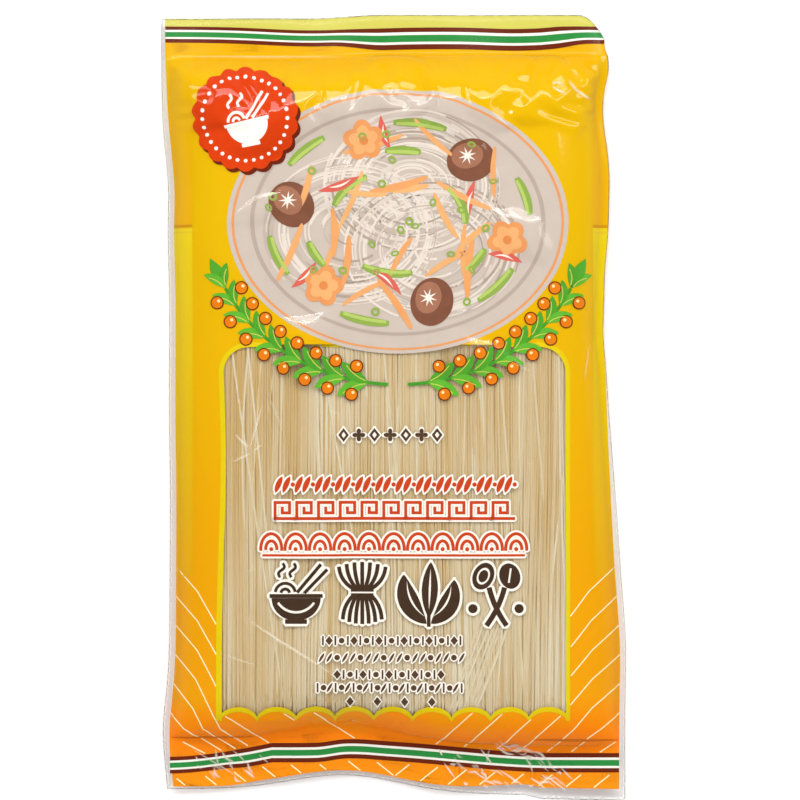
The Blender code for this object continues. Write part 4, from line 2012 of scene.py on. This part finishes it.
@dataclass(frozen=True)
class NoodleBundle:
    """The bundle: layers of straight strands just under the film, over a ribbed core."""

    shape: PackShape
    diameter: float = 1.15
    diameter_spread: float = 0.12
    left: float = -76.5
    right: float = 76.5
    bottom: float = -126.0
    top: float = 121.0
    sides: int = 8
    under_film: float = 0.7
    near_weld: float = 0.4
    near_weld_reach: float = 7.0
    seal_gap: float = 1.5
    pitch_spread: float = 0.25
    foot_spread: float = 3.0
    head_spread: float = 3.5
    sway: Drift = Drift(1.6, 14.0, 120.0)
    weave: Drift = Drift(0.45, 1.0 / 0.9, 60.0)
    lean: float = 0.006
    sheaves: Drift = Drift(0.5, 5.0, 90.0)
    strand_tones: Drift = Drift(0.18, 3.5, 200.0)
    clump_tones: Drift = Drift(0.3, 13.0, 50.0)
    tone_spread: float = 0.08
    # The lower layers take darker, warmer tones, which show in the gaps between the top strands: painted
    # shade.
    strand_layers: tuple[StrandLayer, ...] = (
        StrandLayer("noodle_layer_low", 0.90, 0.85, 0.25, 0.2, 22),
        StrandLayer("noodle_layer_middle", 0.86, 0.45, 0.25, 0.35, 30),
        StrandLayer("noodle_layer_top", 0.86, 0.1, 0.25, 0.5, 40),
    )
    tangles: tuple[Tangle, ...] = (
        Tangle(42, (0.0, -10.0), (70.0, 70.0), 0.0, 0.06, (60.0, 200.0)),
        Tangle(10, (35.0, -98.0), (6.5, 5.0), 0.33, 0.05, (34.0, 62.0)),
    )
    core_pitch: float = 1.1
    core_rib: float = 0.35
    # The core's dark tone is painted shade for the deepest gaps.
    core_tone_with_painted_shade: float = 0.2
    seed: int = 11

    def roof(self, x: Array, y: Array) -> Array:
        """The height the strands pack up to: the smooth front, less a clearance that grows near welds."""
        u, v = self.shape.locate(x, y)
        gap = np.minimum.reduce(self.shape.rim_distances(u, v))
        clearance = self.under_film + self.near_weld * bell(gap, self.near_weld_reach)
        return self.shape.front(u, v) - clearance

    def foot(self, x: Array) -> Array:
        """The Y where the strands end at x: the bundle's own end, or just inside the bottom seal."""
        at_seal = np.full_like(x, 2.0 * self.shape.bottom_seal / self.shape.length - 1.0)
        return np.maximum(self.bottom, self.shape.along(x, at_seal) + self.seal_gap)

    def strand_paths(self, rng: np.random.Generator, layer: StrandLayer) -> tuple[Array, Array]:
        """Centre lines of one layer's strands.

        Args:
            rng: source of the strands' unevenness.
            layer: the layer's sizes.

        Returns:
            Points, strands by stations by 3, and a tone for each strand's stations.
        """
        count = int((self.right - self.left) / layer.pitch)
        home = np.linspace(self.left, self.right, count) + rng.normal(0.0, self.pitch_spread, count)
        foot = self.foot(home)
        low = foot + rng.uniform(0.0, self.foot_spread, count) * np.where(foot > self.bottom, 0.1, 1.0)
        high = self.top - rng.uniform(0.0, self.head_spread, count)
        s = np.linspace(0.0, 1.0, layer.stations)[None, :]
        y = low[:, None] + (high - low)[:, None] * s
        x = home[:, None] + 0.0 * y
        sway, weave = self.sway.over(x, y, rng), self.weave.over(x, y, rng)
        lean = rng.normal(0.0, self.lean, count)[:, None] * y
        x = np.clip(x + sway + weave + lean, self.left - 0.5, self.right + 0.5)
        sheaf = 0.5 + self.sheaves.over(x, y, rng)
        dip = layer.unevenness * (0.65 * rng.uniform(0.0, 1.0, count)[:, None] + 0.6 * sheaf)
        z = self.roof(x, y) - 0.5 * self.diameter - layer.depth - dip
        clumps = self.strand_tones.over(home[:, None], y, rng) + self.clump_tones.over(x, y, rng)
        paler = 0.09 * x / self.right + 0.18 * eased((-30.0 - y) / 60.0) - 0.04
        tone = layer.tone + paler + clumps + rng.normal(0.0, self.tone_spread, count)[:, None]
        return np.stack([x, y, z], axis=-1), np.clip(tone, 0.0, 1.0)

    def tangle_paths(self, rng: np.random.Generator, tangle: Tangle) -> tuple[Array, Array]:
        """Makes the centre lines of the strands of one tangle.

        Args:
            rng: source of the strands' unevenness.
            tangle: the tangle's sizes.

        Returns:
            Points, strands by stations by 3, and a tone for each station.
        """
        count = tangle.count
        s = np.linspace(-0.5, 0.5, 34)[None, :]
        middle = np.array(tangle.centre) + rng.uniform(-1.0, 1.0, (count, 2)) * tangle.reach
        length = rng.uniform(*tangle.lengths, count)[:, None]
        lean = rng.normal(tangle.lean, tangle.lean_spread, count)[:, None]
        bow = rng.normal(0.0, 0.012, count)[:, None] * length * np.cos(math.pi * s)
        lowest = self.foot(middle[:, :1]) + 2.5 + 0.5 * length
        y = np.clip(middle[:, 1:], lowest, self.top - 6.0 - 0.5 * length) + length * s
        x = np.clip(middle[:, :1] + lean * length * s + bow, self.left + 2.0, self.right - 2.0)
        sunk = rng.uniform(0.0, 0.35, count)[:, None] + 1.2 * np.abs(2.0 * s) ** 6
        z = self.roof(x, y) - 0.42 * self.diameter - sunk
        return np.stack([x, y, z], axis=-1), rng.uniform(0.6, 1.0, count)[:, None] + 0.0 * x

    def tubes(self, maker: MeshMaker, paths: Array, tones: Array, rng: np.random.Generator) -> None:
        """Sweeps a circle along each path: centre + radius * (cos a, 0, sin a), closed by two caps.

        Args:
            maker: takes the tubes.
            paths: their centre lines.
            tones: the tones of each, along it.
            rng: source of their diameters.
        """
        angle = np.linspace(0.0, 2.0 * math.pi, self.sides, endpoint=False)
        ring = np.stack([np.cos(angle), np.zeros(self.sides), np.sin(angle)], axis=-1)
        corner = np.arange(1, self.sides - 1, 2)
        cap = np.stack([0 * corner, corner, corner + 1, corner + 2], axis=1)
        diameters = rng.normal(self.diameter, self.diameter_spread, len(tones))
        for path, tone, diameter in zip(paths, tones, diameters):
            grid = path[:, None, :] + 0.5 * diameter * ring[None, :, :]
            first = maker.count
            maker.add_grid(grid, closed=True, tone=tone)
            maker.quads.append(cap[:, ::-1] + first)
            maker.quads.append(cap + maker.count - self.sides)

    def core(self, finish: bpy.types.Material) -> bpy.types.Object:
        """Makes the core: a ribbed slab whose ribs are about a strand's pitch apart.

        Args:
            finish: its material.

        Returns:
            The piece.
        """
        depth = self.diameter * 0.25 + self.strand_layers[0].depth
        columns, rows = 480, 26
        x, share = np.meshgrid(np.linspace(self.left, self.right, columns), np.linspace(0.0, 1.0, rows))
        low_end = self.foot(x) + 2.5
        y = low_end + (self.top - 4.0 - low_end) * share
        ribs = self.core_rib * np.abs(np.cos(math.pi * x / self.core_pitch))
        z_top = self.roof(x, y) - depth + ribs
        u, v = self.shape.locate(x, y)
        z_low = np.minimum(self.shape.back(u, v) + 0.6, z_top - 0.5)
        top = np.stack([x, y, z_top], axis=-1)
        low = np.stack([x, y, z_low], axis=-1)
        maker = MeshMaker()
        maker.add_grid(top, tone=self.core_tone_with_painted_shade)
        maker.add_grid(low, flip=True, tone=self.core_tone_with_painted_shade)
        whole = slice(None)
        sides = (((0, whole), True), ((-1, whole), False), ((whole, 0), False), ((whole, -1), True))
        for edge, flip in sides:
            maker.add_grid(np.stack([low[edge], top[edge]]), flip=flip, tone=self.core_tone_with_painted_shade)
        return maker.make("noodle_core", finish)

    def make(self) -> None:
        """Makes the core, the layers and the loose strands."""
        finish = DriedNoodle().make()
        settle(self.core(finish))
        rng = np.random.default_rng(self.seed)
        for layer in self.strand_layers:
            maker = MeshMaker()
            self.tubes(maker, *self.strand_paths(rng, layer), rng)
            settle(maker.make(layer.name, finish, merge=False))
        maker = MeshMaker()
        for tangle in self.tangles:
            self.tubes(maker, *self.tangle_paths(rng, tangle), rng)
        settle(maker.make("noodle_loose_strands", finish, merge=False))


# ---- The sleeve ----


@dataclass(frozen=True)
class FilmSleeve:
    """The clear film, front and back in one closed skin, over its print."""

    shape: PackShape
    window: Window = Window()
    settling: FilmSettling = FilmSettling()
    net: tuple[int, int] = (164, 296)
    # The creases' white is partly the film's stress whitening and partly painted highlight along their
    # ridges.
    creases: tuple[Crease, ...] = (
        Crease((-84.0, 135.2), (-18.0, 135.0), 0.22, 0.9),
        Crease((-50.2, 1.2), (-55.5, -16.7), 0.5, 0.8),
        Crease((-61.4, -10.5), (-55.5, -16.7), 0.5, 0.8),
        Crease((-62.5, -22.0), (-54.3, -17.8), 0.45, 0.7),
        Crease((-54.3, -17.8), (-50.2, -14.6), 0.4, 0.7),
        Crease((-49.7, 7.4), (-41.0, -12.4), 0.3),
        Crease((-57.1, -65.5), (-52.4, -60.7), 0.3),
        Crease((-58.6, -80.9), (-22.0, -104.4), 0.5, 0.9),
        Crease((-68.0, -95.0), (-50.5, -101.0), 0.28),
        Crease((73.7, 9.2), (75.7, 24.0), 0.25),
        Crease((33.6, -132.5), (39.0, -139.7), 0.9),
        Crease((19.6, -138.2), (24.4, -145.0), 0.8),
        Crease((17.7, -132.9), (19.2, -135.8), 1.0),
        Crease((40.4, -140.7), (51.5, -147.9), 0.8),
        Crease((58.8, -143.0), (67.9, -149.8), 0.8),
        Crease((-78.0, -133.0), (-60.0, -144.0), 0.5),
    )
    # The crumpled patches' short white creases are mostly painted highlight: sparkles of the crinkled film.
    crumples: tuple[Crumple, ...] = (
        Crumple((-63.0, -140.0), (13.0, 5.0), 14, -42.0),
        Crumple((46.0, -132.5), (7.0, 1.6), 16, -10.0),
        Crumple((46.0, -141.0), (24.0, 7.0), 34, -38.0),
        Crumple((66.0, 121.0), (12.0, 5.0), 5, -30.0),
    )
    calm_centre: float = 5.0
    calm_reach: float = 65.0
    calm_fade: float = 30.0
    sharpest_bend: float = 0.12
    seed: int = 7

    def places(self) -> tuple[Array, Array]:
        """The (u, v) of the net over one side, even in both."""
        return np.meshgrid(np.linspace(-1.0, 1.0, self.net[0]), np.linspace(-1.0, 1.0, self.net[1]))

    def front_skin(self) -> FilmSkin:
        """The front: its smooth form, settled as slack film."""
        u, v = self.places()
        x = self.shape.across(u, v)
        smooth = np.stack([x, self.shape.along(x, v), self.shape.front(u, v)], axis=-1)
        side, top, bottom = self.shape.rim_distances(u, v)
        free = np.where(np.minimum.reduce((side - 0.3, top, bottom)) > 0.0, 1.0, 0.0)[..., None]
        top_seal = self.shape.length / 2.0 - self.shape.top_seal
        return FilmSkin(self.shape, self.settling.settled(smooth, free, top_seal), front=True)

    def back_skin(self) -> FilmSkin:
        """The back: flat on the table, with its rims raised to the welds."""
        u, v = self.places()
        x = self.shape.across(u, v)
        points = np.stack([x, self.shape.along(x, v), self.shape.back(u, v)], axis=-1)
        return FilmSkin(self.shape, points, front=False)

    def state(self, skin: FilmSkin, ground: PrintedGround) -> Array:
        """The film's state at each grid point: up to a half as it bends more sharply, and more on welds.

        Args:
            skin: the front.
            ground: the print, beyond which the film is bare.

        Returns:
            The states, which the film's finish reads.
        """
        x, y = skin.points[..., 0], skin.points[..., 1]
        lively = eased((np.abs(y + self.calm_centre) - self.calm_reach) / self.calm_fade)
        bend = np.abs(unevened(skin.points)[..., 2]) * lively
        _, top, bottom = self.shape.rim_distances(*self.places())
        sealed = 0.75 * eased(0.5 - np.minimum(top, bottom))
        past_ink = (ground.ink_left(y) - x, x - ground.ink_right(y), ground.ink_bottom(x) - y)
        bare = clamp(np.maximum.reduce(past_ink) + 0.5)
        return np.maximum.reduce((0.5 * clamp(bend / self.sharpest_bend), sealed, bare))

    def crease_lines(self) -> list[Crease]:
        """All the creases: the long ones and those of the crumpled patches."""
        rng = np.random.default_rng(self.seed)
        return [*self.creases, *(crease for crumple in self.crumples for crease in crumple.creases(rng))]

    def make(self) -> None:
        """Makes the film, its inks and the back's print."""
        front = self.front_skin()
        back = self.back_skin()
        ground = PrintedGround(self.shape, self.window)
        maker = MeshMaker()
        maker.add_grid(front.lifted(Layer.FILM.value), tone=self.state(front, ground))
        maker.add_grid(back.lifted(Layer.FILM.value), flip=True, tone=0.0)
        settle(maker.make("film_sleeve", ClearFilm().make()), replaces=True)
        # The crease strips carry whitened film and painted highlight in one.
        maker = MeshMaker()
        for crease in self.crease_lines():
            x, y, tone = crease.patch()
            maker.add_grid(front.lay(x, y, Layer.CREASE.value + 0.1 * tone), flip=True, tone=tone)
        settle(maker.make("film_creases", WhitenedFilmWithPaintedHighlight().make()))

        inked = front.evened(2)
        ground.make_ground(inked, ground.front_blocks(), GROUND_INK, "print_ground_front", Layer.GROUND)
        ground.make_ground(inked, ground.strip_blocks(), STRIP_INK, "print_side_strips", Layer.BAND)
        ground.make_ground(back, ground.back_blocks(), GROUND_INK, "print_ground_back", Layer.GROUND)

        sheet = InkSheet(inked, "print_")
        ground.draw_bands(sheet)
        ground.draw_seam(sheet)
        ground.draw_border(sheet)
        ground.draw_seal_edge(sheet)
        ground.draw_slants(sheet)
        for picture in (Wreath(), PlateOfNoodles(), RoundSeal(), *MOTIF_ROWS):
            picture.draw(sheet)
        sheet.make()

        rear = InkSheet(back, "back_print_")
        ground.draw_bands(rear)
        rear.make()


# ---- The studio ----


@dataclass(frozen=True)
class SoftBox:
    """A soft box that points at the pack: its place and size in metres, and its radiance."""

    name: str
    place: tuple[float, float, float]
    size: Place
    radiance: float
    mirrored: bool = False

    def make(self) -> None:
        """The lamp. One that isn't mirrored lights the pack, but stays out of the film's reflections."""
        data = bpy.data.lights.new(self.name, "AREA")
        data.shape = "RECTANGLE"
        data.size, data.size_y = self.size
        data.energy = self.radiance * math.pi * self.size[0] * self.size[1]
        lamp = bpy.data.objects.new(self.name, data)
        lamp.location = self.place
        direction = -lamp.location
        lamp.rotation_euler = direction.to_track_quat("-Z", "Y").to_euler()
        lamp.visible_glossy = self.mirrored
        lamp.visible_camera = False
        bpy.context.scene.collection.objects.link(lamp)


@dataclass(frozen=True)
class Studio:
    """A white table, soft light and a camera that looks straight down on the pack."""

    view_width: float = 310.4
    view_centre: Place = (2.7, 2.3)
    camera_height: float = 2400.0
    rim_height: float = 5.0
    sensor: float = 36.0
    soft_boxes: tuple[SoftBox, ...] = (
        SoftBox("soft_box_over", (0.0, 0.0, 1.9), (1.8, 1.8), 0.915),
        SoftBox("soft_box_left", (-1.35, 0.1, 1.1), (1.2, 1.4), 0.6),
        SoftBox("soft_box_right", (1.35, 0.1, 1.1), (1.2, 1.4), 0.435),
        SoftBox("soft_box_low", (0.0, -1.4, 1.0), (1.4, 1.0), 0.735),
        SoftBox("strip_light_high", (0.0, 0.85, 1.38), (1.6, 0.06), 10.0, mirrored=True),
        SoftBox("wide_light_top", (0.1, 1.07, 1.15), (1.5, 0.8), 3.4, mirrored=True),
        SoftBox("strip_light_right", (1.1, 0.5, 1.0), (0.3, 0.9), 3.0, mirrored=True),
        SoftBox("strip_light_left", (-1.0, 0.65, 1.0), (0.25, 0.7), 3.0, mirrored=True),
    )
    table_half: float = 3000.0
    table_top: float = -0.6
    tent: str = "C1C1C1"
    rim_radiance: float = 0.2
    rim_ends: Place = (0.1, 0.35)

    def camera(self) -> None:
        """The camera: a long lens straight above, whose frame is the view's width at the pack's rims."""
        data = bpy.data.cameras.new("camera")
        data.sensor_width = self.sensor
        data.lens = self.sensor * (self.camera_height - self.rim_height) / self.view_width
        data.clip_end = 10.0
        camera = bpy.data.objects.new("camera", data)
        camera.location = (self.view_centre[0] * MM, self.view_centre[1] * MM, self.camera_height * MM)
        bpy.context.scene.collection.objects.link(camera)
        bpy.context.scene.camera = camera

    def world(self) -> None:
        """The light tent round the table: even and soft, and the film mirrors only its low rim."""
        world = bpy.data.worlds.new("studio_tent")
        world.use_nodes = True
        tree = world.node_tree
        tree.nodes.clear()
        way = add_node(tree, "TexCoord").outputs["Generated"]
        low, high = self.rim_ends
        rim = {"From Min": low, "From Max": high, "To Min": self.rim_radiance, "To Max": 0.0}
        rim["Value"] = add_node(tree, "SeparateXYZ", {0: way}).outputs["Z"]
        mirrored = add_node(tree, "Background", {"Color": add_node(tree, "MapRange", rim)})
        tent = add_node(tree, "Background", {"Color": linear(self.tent)})
        glossy = add_node(tree, "LightPath").outputs["Is Glossy Ray"]
        sky = add_node(tree, "MixShader", {"Fac": glossy, 1: tent, 2: mirrored})
        add_node(tree, "OutputWorld", {"Surface": sky})
        bpy.context.scene.world = world

    def floor(self) -> None:
        """The white table top, which the back's film just touches."""
        side = np.linspace(-self.table_half, self.table_half, 3)
        x, y = np.meshgrid(side, side)
        maker = MeshMaker()
        maker.add_grid(np.stack([x, y, np.full_like(x, self.table_top)], axis=-1))
        material, tree = blank_material("table_paper_white")
        place = add_node(tree, "TexCoord").outputs["Object"]
        cloud = add_node(tree, "TexNoise", {"Vector": place, "Scale": 3.0})
        colour = add_node(tree, "ValToRGB", {"Fac": cloud})
        set_ramp(colour, [(0.0, "FAFAFA"), (1.0, "FDFDFD")])
        surface = add_node(tree, "BsdfDiffuse", {"Color": colour})
        add_node(tree, "OutputMaterial", {"Surface": surface})
        table = maker.make("table", material)
        table.visible_glossy = False

    def make(self) -> None:
        """Makes the whole studio."""
        bpy.context.scene.view_settings.view_transform = "Standard"
        self.world()
        self.camera()
        for soft_box in self.soft_boxes:
            soft_box.make()
        self.floor()


def main() -> None:
    """Builds the pack, piece by piece, and its studio."""
    logging.basicConfig(level=logging.INFO, format="%(name)s: %(message)s")
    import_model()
    shape = PackShape()
    FilmSleeve(shape).make()
    NoodleBundle(shape).make()
    Studio().make()


if __name__ == "__main__":
    main()
